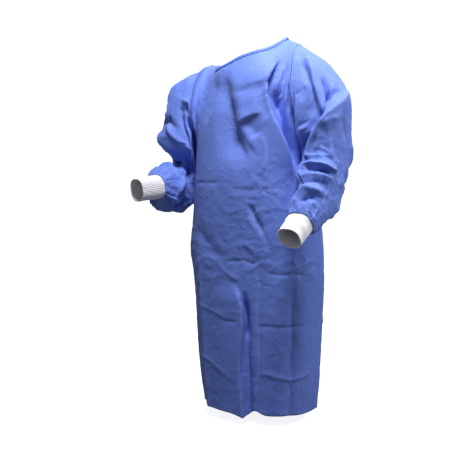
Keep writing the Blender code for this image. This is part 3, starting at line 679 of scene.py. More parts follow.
# places: angle from the middle of the front towards the wearer's left, height in millimetres
bodyCreases = [
    # chest: the long trough and the one beside it
    (-22, 40, 19, 0.05, [(-16, -108), (-6, -190), (-2, -240), (0.5, -305), (6, -370), (13, -430)],
     dict(ends=(0.25, 0.3))),
    (9, 8, 30, 0.3, [(-11, -150), (-1, -210), (3, -260), (5.5, -310), (11, -360), (18, -410)],
     dict(ends=(0.25, 0.3))),
    (-9.5, 20, 12, 0.25, [(-21, -112), (-22.5, -166), (-25.5, -213), (-33, -285)], dict(ends=(0.3, 0.4))),
    # the ledge across the chest and the arrow under it
    (-6, 22, 14, 0.2, [(-4, -188), (8, -187), (22, -166)], dict(ends=(0.5, 0.5))),
    (-6.2, 18, 10, 0.35, [(3, -296), (6.5, -315), (11.2, -344), (16, -370), (23, -402)],
     dict(ends=(0.35, 0.35))),
    (6.2, 6, 26, 0.5, [(2, -292), (9.6, -272), (17.6, -262), (27, -262)], dict(ends=(0.12, 0.4))),
    (-8.1, 20, 24, 0.25, [(8, -275), (15, -300), (22, -335)]),
    # the fold edge beside the near armhole, and the hollow behind it
    (25, 40, 5.5, 0.5, [(36, -58), (30, -104), (26, -140), (24.5, -165), (26, -205), (30, -247), (35.5, -278),
     (41, -306), (48, -348), (53.5, -393), (58, -434), (61, -475)], dict(lean=9.5, ends=(0.22, 0.25))),
    (-40, 11, 20, 0.3, [(36, -150), (36, -200), (41, -240), (47, -275), (54, -320), (61, -370), (67, -440)],
     dict(ends=(0.22, 0.3))),
    (-8.1, 14, 9, 0.35, [(20.5, -150), (21, -200), (25, -245), (31, -285)]),
    # gathers between that edge and the armhole
    (6.1, 7, 9, 0.55, [(41, -85), (36, -150), (36, -215)]),
    (-8.1, 8, 8, 0.45, [(46, -85), (43, -150), (44, -235)]),
    (6.8, 7, 9, 0.55, [(52, -100), (50, -160), (51, -240)]),
    (-8.1, 8, 8, 0.45, [(60, -120), (58, -180), (57, -260)]),
    (-2.7, 6, 5, 0.65, [(30, -178), (38, -186), (46, -182)]),
    # the curved line down to the waist
    (4.3, 10, 5, 0.85, [(25, -325), (28.5, -346), (30.5, -380), (30, -410), (27, -435), (22, -452)],
     dict(ends=(0.2, 0.2))),
    # waist
    (-2.5, 8.7, 4.3, 0.65, [(-50, -458), (-30, -463), (-9, -467)]),
    (-2, 9.9, 4.3, 0.7, [(0, -484), (14, -492), (25, -487)], dict(ends=(0.2, 0.1))),
    (-1.7, 7.4, 4.2, 0.85, [(25, -487), (37, -492), (52, -489)], dict(ends=(0, 0.3))),
    (1.2, 4.2, 5.6, 0.9, [(25, -487), (23, -468), (20, -446)], dict(ends=(0, 0.4))),
    (1.1, 5, 4.2, 0.9, [(25, -487), (27, -510), (33, -525)], dict(ends=(0, 0.4))),
    (-1.4, 6.8, 4.2, 0.85, [(26, -492), (36, -512), (49, -537)], dict(ends=(0, 0.35))),
    (1.2, 4.2, 5, 0.9, [(25, -487), (33, -474), (41, -462)], dict(ends=(0, 0.4))),
    (-1.7, 6.2, 4.2, 0.75, [(6, -512), (15, -520), (22, -516)]),
    (-10.8, 7, 8, 0.65, [(13.5, -530), (17.5, -574), (25.5, -632)], dict(ends=(0.25, 0.3))),
    (2.5, 6.2, 4.2, 0.75, [(10.5, -535), (14, -578), (21, -636)], dict(ends=(0.25, 0.3))),
    (-2.5, 4.2, 6.2, 0.75, [(22, -600), (26, -640), (31, -690)]),
    # below the waist
    (-2.7, 8.7, 4.2, 0.75, [(-8, -712), (4, -710), (18, -712)], dict(ends=(0.3, 0.1))),
    (2.8, 4.2, 7.4, 0.85, [(-13, -715), (-9.6, -731), (-3, -755), (2, -768), (5, -779)],
     dict(ends=(0.25, 0.2))),
    (2.4, 5, 8.1, 0.65, [(-31, -712), (-25, -700), (-17, -706), (-11, -716)]),
    (-1.9, 5, 5, 0.75, [(-55, -735), (-47, -712), (-40, -690)]),
    (-5.4, 24, 20, 0.25, [(-40, -600), (-22, -660), (-8, -720)]),
    (2.2, 5, 5, 0.75, [(6, -640), (14, -672), (18, -700)]),
    (-2.8, 9.3, 4.2, 0.85, [(21, -741), (34, -749), (54, -750), (76, -755)]),
    (-2, 6.2, 4.2, 0.85, [(19, -762), (24, -783), (31, -783)]),
    (3.3, 4.3, 5, 0.75, [(46, -745), (62, -722), (76, -706), (84, -697)]),
    (-2.2, 4.3, 4.2, 0.75, [(56, -758), (70, -738), (84, -722)]),
    (-1.9, 5, 4.2, 0.85, [(66, -782), (78, -774), (88, -766)]),
    # packing creases
    (-3.5, 4.2, 11.2, 0.9, [(18, -685), (19, -720), (19.6, -800), (19.6, -870), (20.6, -940), (20.6, -1040),
     (17.5, -1140), (16.5, -1215)], dict(ends=(0.05, 0), grow=1.5)),
    (2.2, 4.2, 8.7, 0.85, [(-46, -853), (-30, -862), (-16, -874), (-2, -896)]),
    (-2.5, 8.7, 4.2, 0.75, [(-14, -892), (-5, -896), (3, -901)], dict(ends=(0.4, 0.1))),
    (-3.2, 10.5, 4.2, 0.75, [(20, -905), (35, -909), (66, -907), (80, -900)], dict(ends=(0.05, 0.4))),
    (3.1, 4.2, 11.2, 0.75, [(21, -1052), (36.6, -1061), (54, -1073), (72, -1062), (84, -1053)],
     dict(ends=(0.05, 0.2))),
    (2.9, 4.3, 9.3, 0.75, [(-45, -1020), (-34, -1024), (-24, -1033), (-13, -1053), (0, -1083)]),
    (-2.2, 4.3, 4.2, 0.85, [(2, -1066), (9, -1060), (18, -1057)], dict(ends=(0.1, 0.05))),
    (4.6, 20, 14, 0.5, [(-33, -560), (-34, -800), (-32, -1000), (-33, -1200)], dict(ends=(0.3, 0))),
    (-4.9, 22, 18, 0.5, [(53, -780), (54, -950), (53, -1200)], dict(ends=(0.2, 0))),
    (-13.5, 30, 30, 0.25, [(-64, -660), (-60, -900), (-54, -1200)], dict(ends=(0.3, 0))),
    # the deep pleat: its left part ends in a sharp edge that laps over a gap
    (15, 50, 3.5, 0.65, [(0, -775), (3, -820), (5.2, -860), (5.6, -910), (4.8, -944), (3.4, -1040),
     (4.6, -1120), (6, -1215)], dict(lean=13, ends=(0.14, 0), grow=1.2)),
    (-20, 6, 10, 0.55, [(6.8, -800), (8.4, -860), (9.2, -915), (9.6, -1000), (10.6, -1100), (11.6, -1215)],
     dict(ends=(0.14, 0), grow=1.3)),
    (-18, 5.5, 7, 0.55, [(7.4, -830), (8.4, -870), (8.8, -920), (8.6, -960)]),
    (-1.4, 4.2, 4.2, 0.75, [(6, -872), (11, -876), (16, -870)]),
    # back, which hangs straighter
    (-17.5, 34, 26, 0.25, [(133, -500), (129, -800), (123, -1215)], dict(ends=(0.4, 0), grow=1.3)),
    (-16.2, 28, 34, 0.25, [(-138, -540), (-133, -850), (-127, -1215)], dict(ends=(0.4, 0), grow=1.3)),
    (9.5, 30, 24, 0.3, [(104, -600), (106, -900), (108, -1215)], dict(ends=(0.4, 0))),
    (9.5, 26, 32, 0.3, [(-108, -620), (-106, -900), (-101, -1215)], dict(ends=(0.4, 0))),
    (8.1, 20, 16, 0.45, [(152, -600), (155, -900), (157, -1215)], dict(ends=(0.4, 0))),
    (-6.8, 20, 16, 0.45, [(-158, -660), (-155, -900), (-152, -1215)], dict(ends=(0.4, 0))),
    (-13.5, 28, 22, 0.3, [(126, -170), (134, -330), (148, -540)]),
    (-12.1, 22, 28, 0.3, [(-128, -150), (-137, -320), (-147, -520)]),
    (8.1, 18, 14, 0.45, [(112, -200), (116, -300), (124, -420)]),
    (8.1, 14, 18, 0.45, [(-112, -190), (-118, -300), (-122, -410)]),
    (-2.5, 7.4, 5, 0.65, [(118, -462), (140, -480), (172, -512)]),
    (2.5, 6.2, 7.4, 0.65, [(122, -560), (148, -545), (172, -526)]),
    (-2.4, 5, 7.4, 0.65, [(-116, -452), (-140, -478), (-168, -512)]),
    (2.4, 7.4, 6.2, 0.65, [(-120, -572), (-146, -548), (-168, -528)]),
    (-2.7, 7.4, 4.2, 0.75, [(96, -742), (125, -748), (158, -740)]),
    (-2.7, 4.2, 7.4, 0.75, [(-96, -738), (-128, -745), (-160, -738)]),
    (2.7, 4.3, 8.7, 0.75, [(96, -905), (130, -912), (168, -903)], dict(ends=(0.15, 0.2))),
    (2.7, 8.7, 4.3, 0.75, [(-97, -906), (-130, -900), (-166, -908)], dict(ends=(0.15, 0.2))),
    (-2.7, 7.4, 4.2, 0.75, [(97, -1050), (128, -1062), (170, -1056)], dict(ends=(0.15, 0.2))),
    (-2.7, 4.2, 7.4, 0.75, [(-97, -1052), (-130, -1060), (-168, -1052)], dict(ends=(0.15, 0.2))),
]
# where the cloth was handled most: angle, height, reach in metres, extra depth
rumpled = [
    (28, -0.49, 0.075, 0.0008),
    (18, -0.59, 0.070, 0.0006),
    (22, -0.70, 0.065, 0.0006),
    (-12, -0.73, 0.080, 0.0006),
    (-45, -0.70, 0.060, 0.0006),
    (74, -0.73, 0.060, 0.0006),
    (46, -0.20, 0.060, 0.0006),
    (-55, -0.20, 0.060, 0.0006),
    (165, -0.53, 0.080, 0.0007),
    (-165, -0.53, 0.080, 0.0007),
    (180, -0.08, 0.070, 0.0004),
]


def shaped(grid, angle, z, topHold):
    # the smooth panel with its creases; topHold is 0 on sewn top edges and 1 below them
    u = angle * unroll
    normals = gridNormals(grid, False)
    level = np.stack([np.sin(angle), -np.cos(angle), np.zeros_like(angle)], axis=2)
    normals = np.where(((normals * level).sum(axis=2) < 0)[:, :, None], -normals, normals)
    out, shiftU, shiftV, sharp = creaseField(u, z, creases(bodyCreases, bodyPath))
    wear = np.full(u.shape, handling["panel"]["wear"])
    for degrees, height, reach, depth in rumpled:
        du = np.abs(u - math.radians(degrees) * unroll)
        du = np.minimum(du, 2 * math.pi * unroll - du)
        wear += depth * np.exp(-(du ** 2 + (z - height) ** 2) / reach ** 2)
    handled(grid, out, sharp, wear, "panel")
    sideways = np.stack([np.cos(angle), np.sin(angle), np.zeros_like(angle)], axis=2)
    move = normals * out[:, :, None] + sideways * shiftU[:, :, None]
    move[:, :, 2] += shiftV
    return grid + move * topHold[:, :, None], sharp * topHold


def fadeBelow(rows, count):
    # 0 on the top row, rising to 1 over count rows
    return easeInOut(np.clip((rows - 1 - np.arange(rows)) / count, 0, 1))


evening = dict(rounds=60, rows=10.0, columns=5.0)       # rows and columns that an edge holds


def evened(grid, closed=False):
    # softens the kinks that the coarse columns leave, away from the edges
    rows, columns = grid.shape[:2]
    edge = np.minimum(np.arange(rows)[:, None], (rows - 1 - np.arange(rows))[:, None] / 1.5)
    keep = np.clip(1 - edge / evening["rows"], 0, 1) * np.ones((1, columns))
    if not closed:
        side = np.minimum(np.arange(columns), columns - 1 - np.arange(columns))[None, :]
        keep = np.maximum(keep, np.clip(1 - side / evening["columns"], 0, 1))
    return eased(grid, closed, evening["rounds"], keep)


# each edge of a panel's grid, and the points beside it
panelEdges = dict(
    first=(np.s_[:, 0], np.s_[:, 1]),
    last=(np.s_[:, -1], np.s_[:, -2]),
    top=(np.s_[-1], np.s_[-2]),
)


def drawnIn(grid, edge, distance):
    # one edge of a panel drawn back from its seam
    at, beside = panelEdges[edge]
    step = grid[beside] - grid[at]
    grid[at] += unit(step) * distance
    return grid


def panels():
    parts = {}
    for side in (1, -1):
        for face in ("front", "back"):
            parts[(side, face)] = halfPanel(side, face)
    right, left = parts[(-1, "front")], parts[(1, "front")]
    front = [np.concatenate([a[:, :0:-1], b], axis=1) for a, b in zip(right, left)]
    made = {"front_panel": front}
    step = body["fineness"]
    for name, side in (("back_left_panel", 1), ("back_right_panel", -1)):
        own, over = parts[(side, "back")], parts[(-side, "back")]
        line = over[0]
        gaps = np.linalg.norm(np.diff(line, axis=1), axis=2)
        reach = np.concatenate([np.zeros((len(line), 1)), np.cumsum(gaps, axis=1)], axis=1)
        count = lapColumns * step
        passing, passAngle, passZ = [], [], []
        for i in range(count, 0, -1):
            share = i / count * body["lapHalfWidth"]
            place = np.array([np.interp(share, reach[r], np.arange(reach.shape[1])) for r in range(len(line))])
            low = np.minimum(place.astype(int), reach.shape[1] - 2)
            part = place - low
            index = np.arange(len(line))
            passing.append(line[index, low] * (1 - part)[:, None] + line[index, low + 1] * part[:, None])
            # the angle runs on past the middle of the back, so that creases run on too
            past = over[1][index, low] * (1 - part) + over[1][index, low + 1] * part
            passAngle.append(side * (2 * math.pi - np.abs(past)))
            passZ.append(passing[-1][:, 2])
        grid = np.concatenate([np.array(passing).swapaxes(0, 1), own[0]], axis=1)
        angle = np.concatenate([np.array(passAngle).T, own[1]], axis=1)
        z = np.concatenate([np.array(passZ).T, own[2]], axis=1)
        if side < 0:
            near = np.clip(((2 * lapColumns + 3) * step - np.arange(grid.shape[1])) / (3 * step), 0, 1)
            near = easeInOut(near)[None, :, None]
            x, y, level = grid[:, :, 0], grid[:, :, 1], np.zeros(grid.shape[:2])
            out = np.stack([x * body["lapSideways"], np.abs(y) + 0.02, level], axis=2)
            grid = grid - unit(out) * body["lapDepth"] * near
        made[name] = [grid, angle, z]
    return made


def withAllowance(front, sharp, outward):
    # the front panel's seam allowances run on behind the back panels
    for name, side in (("back_right_panel", -1), ("back_left_panel", 1)):
        inward = np.array([-side * seam["under"], 0.0, 0.0])
        edge = front[:, 0 if side < 0 else -1] + inward
        beyond = clothGrids[name][:, -1 - seam["columns"]] + inward
        if side < 0:
            front, more = np.concatenate([np.stack([beyond, edge], axis=1), front], axis=1), (2, 0)
        else:
            front, more = np.concatenate([front, np.stack([edge, beyond], axis=1)], axis=1), (0, 2)
        sharp = np.pad(sharp, ((0, 0), more))
        outward = np.pad(outward, ((0, 0), more, (0, 0)), mode="edge")
    return front, sharp, outward


smoothPanels = panels()
clothGrids, panelPieces = {}, {}
for name in ("back_left_panel", "back_right_panel", "front_panel"):
    grid, angle, z = smoothPanels[name]
    rows, columns = grid.shape[:2]
    hold = fadeBelow(rows, seam["topRows"])[:, None] * np.ones((1, columns))
    grid = evened(grid)
    grid, sharp = shaped(grid, angle, z, hold)
    grid = drawnIn(drawnIn(grid, "last", seam["gap"]), "top", seam["topGap"])
    if name == "front_panel":
        grid = drawnIn(grid, "first", seam["gap"])
    clothGrids[name] = grid
    outward = np.stack([np.sin(angle), -np.cos(angle), np.zeros_like(angle)], axis=2)
    if name == "front_panel":
        grid, sharp, outward = withAllowance(grid, sharp, outward)
    piece = addShell(name + "_cloth", grid, body["clothWall"], False, clothLook, sharp, outward)
    panelPieces[name] = stand(piece, name)
print("panels draped")


# sleeves: places are (turn round from the outer end over the front, share of the way to the cuff)
sleeveCloth = dict(girth=0.50, length=0.58, puckers=25, puckerDepth=0.0042, puckerReach=0.13, puckerEnd=0.035,
                   capPuckers=31, capDepth=0.0011, capPlace=0.03, capReach=0.025, heldRows=9,
                   worn=((0.68, 0.12), (0.93, 0.06)), wornDepth=0.0007)
sleeveCreases = {
    1: [
        # the front face's edge, and the big fold that laps over it
        (13, 7, 26, 0.55, [(0.085, 0.13), (0.155, 0.188), (0.2, 0.23), (0.212, 0.285), (0.206, 0.345)],
         dict(ends=(0.2, 0.1))),
        (-8.7, 18, 8, 0.35, [(0.13, 0.12), (0.2, 0.19), (0.235, 0.25), (0.245, 0.32)]),
        (21.7, 6, 50, 0.6, [(-0.04, 0.285), (0.05, 0.335), (0.12, 0.35), (0.185, 0.362), (0.245, 0.385),
         (0.268, 0.44), (0.288, 0.54), (0.292, 0.64)], dict(lean=-5, ends=(0.12, 0.12))),
        (-17.4, 16, 12, 0.35, [(0.02, 0.29), (0.09, 0.315), (0.15, 0.325), (0.195, 0.335)]),
        (-12.3, 10, 12, 0.45, [(0.135, 0.235), (0.15, 0.285), (0.15, 0.335)]),
        (7.2, 10, 10, 0.55, [(0.085, 0.215), (0.11, 0.265), (0.12, 0.31)]),
        (-30, 22, 12, 0.35, [(0.278, 0.37), (0.3, 0.47), (0.312, 0.56), (0.32, 0.64)]),
        (-8.7, 22, 20, 0.25, [(0.36, 0.1), (0.37, 0.25), (0.36, 0.42)]),
        (15, 22, 24, 0.2, [(0.3, 0.06), (0.315, 0.18), (0.325, 0.3), (0.325, 0.45)], dict(ends=(0.25, 0.35))),
        # front face: small cross creases
        (-4.6, 9, 5, 0.75, [(0.275, 0.105), (0.252, 0.15), (0.236, 0.207)]),
        (4.9, 5, 8, 0.75, [(0.215, 0.165), (0.235, 0.185), (0.262, 0.182)]),
        (-4.3, 8, 5, 0.75, [(0.315, 0.29), (0.292, 0.305), (0.262, 0.315)]),
        (4.1, 5, 8, 0.75, [(0.305, 0.33), (0.285, 0.345), (0.268, 0.34)]),
        # shoulder and upper arm
        (-4.9, 10, 6, 0.75, [(0.095, 0.215), (0.065, 0.24), (0.025, 0.262)]),
        (-4.9, 9, 5, 0.75, [(0.1, 0.245), (0.07, 0.268), (0.04, 0.272)]),
        (4.9, 6, 10, 0.65, [(0.09, 0.285), (0.055, 0.29), (0.01, 0.3)]),
        (4.3, 8, 8, 0.55, [(0.06, 0.06), (0.035, 0.11), (0.03, 0.18)]),
        (-5.2, 10, 8, 0.55, [(0.115, 0.05), (0.1, 0.1), (0.09, 0.15)]),
        (6.1, 7, 14, 0.65, [(0.225, 0.4), (0.14, 0.398), (0.05, 0.398)]),
        (-7.2, 12, 8, 0.65, [(0.06, 0.39), (0.02, 0.42), (-0.01, 0.46)]),
        (-6.1, 10, 5, 0.75, [(0.238, 0.41), (0.248, 0.5), (0.246, 0.61)]),
        (7.2, 22, 18, 0.35, [(0.15, 0.44), (0.12, 0.52), (0.11, 0.59)]),
        # elbow: the fold across it and the deep one under that
        (18.5, 9, 22, 0.6, [(0.33, 0.63), (0.285, 0.648), (0.238, 0.66), (0.14, 0.648), (0.06, 0.632),
         (0, 0.625)], dict(lean=-4.5)),
        (-15, 18, 11, 0.35, [(0.32, 0.69), (0.25, 0.705), (0.17, 0.69), (0.09, 0.668), (0.03, 0.655)],
         dict(ends=(0.35, 0.3))),
        (9, 10, 16, 0.6, [(0.36, 0.74), (0.29, 0.745), (0.21, 0.735), (0.13, 0.715), (0.05, 0.69),
         (-0.02, 0.672)], dict(lean=-2, ends=(0.3, 0.3))),
        (-11.5, 18, 12, 0.4, [(0.39, 0.79), (0.3, 0.8), (0.2, 0.792), (0.12, 0.77), (0.05, 0.735),
         (-0.02, 0.705)], dict(ends=(0.3, 0.3))),
        (-10.1, 10, 14, 0.45, [(0.18, 0.7), (0.13, 0.68), (0.07, 0.66)]),
        (11.6, 16, 20, 0.45, [(0.31, 0.815), (0.226, 0.832), (0.11, 0.82), (0.03, 0.79)]),
        (-13.5, 12, 17, 0.5, [(0.27, 0.935), (0.215, 0.915), (0.149, 0.89), (0.06, 0.835), (0, 0.785)]),
        (-5.8, 8, 6, 0.65, [(0.2, 0.87), (0.15, 0.85), (0.11, 0.86)]),
        (-10.1, 12, 12, 0.55, [(-0.05, 0.64), (-0.06, 0.69), (-0.04, 0.74)]),
        # the length seam on the forearm
        (3.8, 3, 3, 0.65, [(0.33, 0.69), (0.3, 0.76), (0.278, 0.85), (0.262, 0.96)], dict(ends=(0.1, 0))),
        (-2.9, 3.5, 3.5, 0.65, [(0.35, 0.69), (0.322, 0.76), (0.302, 0.85), (0.29, 0.96)], dict(ends=(0.1, 0))),
        # back and inner side
        (-13, 24, 18, 0.35, [(0.9, 0.1), (0.85, 0.22), (0.84, 0.36)]),
        (-11.6, 20, 22, 0.35, [(0.7, 0.08), (0.69, 0.22), (0.72, 0.36)]),
        (11.6, 12, 22, 0.45, [(0.95, 0.46), (0.86, 0.5), (0.76, 0.52)]),
        (-13, 14, 14, 0.45, [(0.96, 0.56), (0.85, 0.61), (0.74, 0.6)]),
        (10.1, 14, 18, 0.45, [(0.9, 0.7), (0.8, 0.76), (0.68, 0.76)]),
        (-10.1, 12, 14, 0.45, [(0.94, 0.82), (0.84, 0.86), (0.7, 0.85)]),
        (-11.6, 12, 12, 0.55, [(0.56, 0.6), (0.5, 0.66), (0.43, 0.68)]),
        (-10.1, 12, 12, 0.55, [(0.6, 0.72), (0.52, 0.76), (0.44, 0.76)]),
    ],
    -1: [
        # front of the upper arm
        (9.7, 6, 9, 0.75, [(0.235, 0.15), (0.24, 0.1), (0.25, 0.045)]),
        (-9.5, 10, 6, 0.75, [(0.262, 0.185), (0.268, 0.13), (0.28, 0.07)]),
        (5.8, 6, 8, 0.65, [(0.29, 0.175), (0.276, 0.15), (0.272, 0.11)]),
        (-15.7, 18, 9, 0.5, [(0.27, 0.11), (0.3, 0.2), (0.332, 0.32), (0.35, 0.45)]),
        (11.7, 12, 20, 0.45, [(0.12, 0.08), (0.15, 0.18), (0.165, 0.3)]),
        (-13.6, 14, 12, 0.45, [(0.06, 0.09), (0.09, 0.2), (0.13, 0.33)]),
        (-11.7, 10, 8, 0.55, [(0.14, 0.345), (0.19, 0.372), (0.235, 0.31), (0.245, 0.27)]),
        (7.8, 8, 8, 0.55, [(0.18, 0.25), (0.19, 0.3), (0.18, 0.35)]),
        (9, 10, 14, 0.55, [(0.22, 0.33), (0.26, 0.38), (0.31, 0.43)]),
        # elbow: the fold that hangs over the forearm
        (25.4, 7, 30, 0.6, [(0.15, 0.42), (0.205, 0.455), (0.25, 0.51), (0.275, 0.59), (0.33, 0.69)],
         dict(lean=-4, ends=(0.2, 0.15))),
        (-27.4, 14, 10, 0.45, [(0.12, 0.5), (0.19, 0.56), (0.25, 0.64), (0.3, 0.72)]),
        (-23.5, 14, 14, 0.5, [(0.06, 0.64), (0.16, 0.7), (0.26, 0.75), (0.38, 0.76)]),
        (13.6, 16, 14, 0.45, [(0.1, 0.78), (0.2, 0.8), (0.32, 0.8)]),
        (-13.6, 10, 12, 0.55, [(0.2, 0.86), (0.32, 0.84), (0.43, 0.85)]),
        (11.7, 12, 14, 0.45, [(0.42, 0.77), (0.48, 0.82), (0.52, 0.89)]),
        (-15.7, 14, 14, 0.45, [(0.38, 0.6), (0.43, 0.69), (0.5, 0.76)]),
        (-13.6, 12, 14, 0.45, [(0.56, 0.76), (0.62, 0.83), (0.64, 0.9)]),
        (11.7, 12, 12, 0.45, [(0.5, 0.68), (0.56, 0.72), (0.64, 0.74)]),
        # back
        (-13, 24, 18, 0.35, [(0.9, 0.1), (0.85, 0.22), (0.84, 0.36)]),
        (-11.6, 20, 22, 0.35, [(0.7, 0.08), (0.69, 0.22), (0.72, 0.36)]),
        (11.6, 12, 22, 0.45, [(0.96, 0.4), (0.88, 0.46), (0.76, 0.5)]),
        (-13, 14, 14, 0.45, [(0.97, 0.54), (0.85, 0.58), (0.74, 0.6)]),
        (10.1, 14, 18, 0.45, [(0.92, 0.7), (0.8, 0.74), (0.68, 0.75)]),
        (-10.1, 12, 14, 0.45, [(0.96, 0.82), (0.86, 0.85), (0.74, 0.84)]),
    ],
}


def makeSleeve(side, label):
    grid, along, turn = sleeveGrid(side)
    rows, columns = grid.shape[:2]
    girth, length = sleeveCloth["girth"], sleeveCloth["length"]
    a, t = (np.broadcast_to(values, (rows, columns)) for values in (along[:, None], turn[None, :]))
    normals = gridNormals(grid, True)
    if (normals * (grid - grid.mean(axis=1, keepdims=True))).sum() < 0:
        normals = -normals
    folds = creases(sleeveCreases[side], lambda places: [(-side * x * girth, -y * length) for x, y in places])
    out, shiftU, shiftV, sharp = creaseField(-side * t * girth, -a * length, folds, wrap=girth)
    wear = handling["sleeve"]["wear"]
    for place, reach in sleeveCloth["worn"]:
        wear = wear + sleeveCloth["wornDepth"] * np.exp(-((a - place) / reach) ** 2)
    handled(grid, out, sharp, wear, "sleeve", side)
    # gathers where the sleeve is sewn into the cuff, and small ones at the armhole, their waves
    # shifted by slower ones so that no two are alike
    turns = t * 2 * math.pi
    wander = 1.1 * np.sin(turns * 3 + side) + 0.8 * np.sin(turns * 7 + 2.0)
    gather = np.sin(turns * sleeveCloth["puckers"] + wander * 1.6 + a * 9 * np.sin(turns * 5))
    uneven = 0.65 + 0.35 * np.sin(turns * 4 + 1.3 * side)
    reach = np.clip((a - (1 - sleeveCloth["puckerReach"])) / sleeveCloth["puckerReach"], 0, 1)
    ending = np.clip((1 - a) / sleeveCloth["puckerEnd"], 0, 1)
    out *= ending
    out += sleeveCloth["puckerDepth"] * gather * uneven * reach ** 0.8 * (0.12 + 0.88 * ending)
    shiftU, shiftV = shiftU * ending, shiftV * ending
    sharp += np.clip(gather, 0, 1) ** 4 * reach * 0.7
    cap = np.exp(-((a - sleeveCloth["capPlace"]) / sleeveCloth["capReach"]) ** 2)
    out += sleeveCloth["capDepth"] * np.sin(turns * sleeveCloth["capPuckers"] + 2.2 * np.sin(turns * 6)) * cap
    hold = np.clip(np.arange(rows) / sleeveCloth["heldRows"], 0, 1)[:, None] * np.ones((1, columns))
    # the cloth is shifted along its own two ways
    around = unit(np.roll(grid, -1, axis=1) - np.roll(grid, 1, axis=1))
    down = unit(np.gradient(grid, axis=0))
    move = normals * out[:, :, None] - side * around * shiftU[:, :, None] - down * shiftV[:, :, None]
    grid = grid + move * hold[:, :, None]
    piece = addShell("sleeve_%s_cloth" % label, grid, sleeves["wall"], True, clothLook, sharp * hold)
    return stand(piece, "sleeve_" + label)


# rib knit cuffs
cuff = dict(wall=0.0012, length=0.070, gap=-0.0030, start=0.940, taper=0.085, ribs=58, ribDepth=0.00075,
            ribEdge=1.6, upright=0.5, squared=0.6, slack=0.0008, bead=0.0010, beadReach=0.05,
            rows=46, columns=464, turn={1: -8, -1: 24})


def makeCuff(side, label):
    last = sleeveGrid(side)[0][-1]
    last = splineAt(np.vstack([last, last[:1]]), np.arange(cuff["columns"]) / cuff["columns"] * len(last))
    turn = np.arange(cuff["columns"]) / cuff["columns"]
    pitch, aside = math.radians(sleeveRings[side][-1][-1]), math.radians(cuff["turn"][side])
    level = math.sin(pitch)
    forward = np.array([side * level * math.sin(aside), -level * math.cos(aside), -math.cos(pitch)])
    middle = last.mean(axis=0)
    slanted = last - middle
    upright = slanted - np.outer(slanted @ forward, forward) * cuff["squared"]
    rib = np.clip(np.cos(turn * 2 * math.pi * cuff["ribs"]) * cuff["ribEdge"], -1, 1)
    grid, inside, marks = [], [], []
    for i in range(cuff["rows"] + 1):
        t = i / cuff["rows"]
        size = cuff["start"] - cuff["taper"] * math.sin(math.pi / 2 * t)
        spokes = slanted + (upright - slanted) * easeInOut(min(1.0, t / cuff["upright"]))
        radial = unit(spokes)
        # the cuff is worn slack, so soft rings run round it, deeper on its inner side
        slack = cuff["slack"] * np.sin(t * 13 + 1.7 * np.sin(turn * 2 * math.pi * 2 + side))
        slack = slack * (0.5 + 0.5 * np.sin(turn * 2 * math.pi + 1))
        slack = slack * min(1, t * 6, (1 - t) * 6)
        bead = cuff["bead"] * math.exp(-((t - 1) / cuff["beadReach"]) ** 2)
        offset = cuff["ribDepth"] * rib * min(1.0, 0.3 + t * 12) + slack + bead
        centre = middle + forward * (cuff["gap"] + cuff["length"] * t)
        grid.append(centre + spokes * size + radial * offset[:, None])
        inside.append(centre + spokes * size + radial * (slack - cuff["wall"])[:, None])
        # marks are 1 on the rib crests and 0 in the grooves; the knit look paints shade into the grooves from
        # them
        marks.append(0.5 + 0.5 * rib)
    piece = addShell("cuff_%s_knit" % label, np.array(grid), cuff["wall"], True, knitLook, np.array(marks),
                     inner=np.array(inside))
    return stand(piece, "cuff_" + label)


sewn = dict(panelPieces)
for side, label in ((1, "left"), (-1, "right")):
    sewn["sleeve_" + label] = makeSleeve(side, label)
    sewn["cuff_" + label] = makeCuff(side, label)
print("sleeves and cuffs made")


# neck binding: a tape folded over the neck edge and stitched
# across: places over the tape's width, and how far each is drawn in by the stitches
binding = dict(width=0.0088, wall=0.0009, gap=0.0011, ease=0.0022, easeReach=0.022, step=0.0018, seenRows=30,
               edgeRounds=6, wayRounds=10, rise=1.2, stitchPitch=0.0036, stitch=0.00035, dent=0.0004,
               puff=0.0003, ripples=((0.0005, 210, 0), (0.0004, 530, 1)), bend=(75, 45, 15, -15, -45, -75),
               across=((1.0, 0), (0.86, 0.5), (0.78, 1.0), (0.70, 0.5), (0.5, 0), (0.25, 0)))


def facing(vector, way):
    vector = vector / np.linalg.norm(vector)
    return vector if np.dot(vector, way) > 0 else -vector


def searchTree(*grids):
    points, faces = [], []
    for grid in grids:
        rows, columns = grid.shape[:2]
        first = len(points)
        points += [Vector(p) for p in grid.reshape(-1, 3)]
        for r in range(rows - 1):
            for c in range(columns - 1):
                a = first + r * columns + c
                faces.append((a, a + 1, a + columns + 1, a + columns))
    return BVHTree.FromPolygons(points, faces)


def neckEdge(front, left, right):
    # one even run of points along the whole edge, their running length, and where the seams meet it
    step, half = body["fineness"], neckColumns * body["fineness"]
    middle, corner = allColumns * step, (neckColumns + lapColumns) * step
    edges = np.concatenate([right[-1, :corner + 1], front[-1, middle - half:middle + half + 1],
                            left[-1, corner::-1]])
    reach = running(np.linalg.norm(np.diff(edges, axis=0), axis=1))
    even = np.linspace(0, reach[-1], int(reach[-1] / binding["step"]))
    edges = np.stack([np.interp(even, reach, edges[:, k]) for k in range(3)], axis=1)
    rounded(edges, binding["edgeRounds"])
    return edges, even, [reach[corner], reach[corner + 1 + 2 * half]]


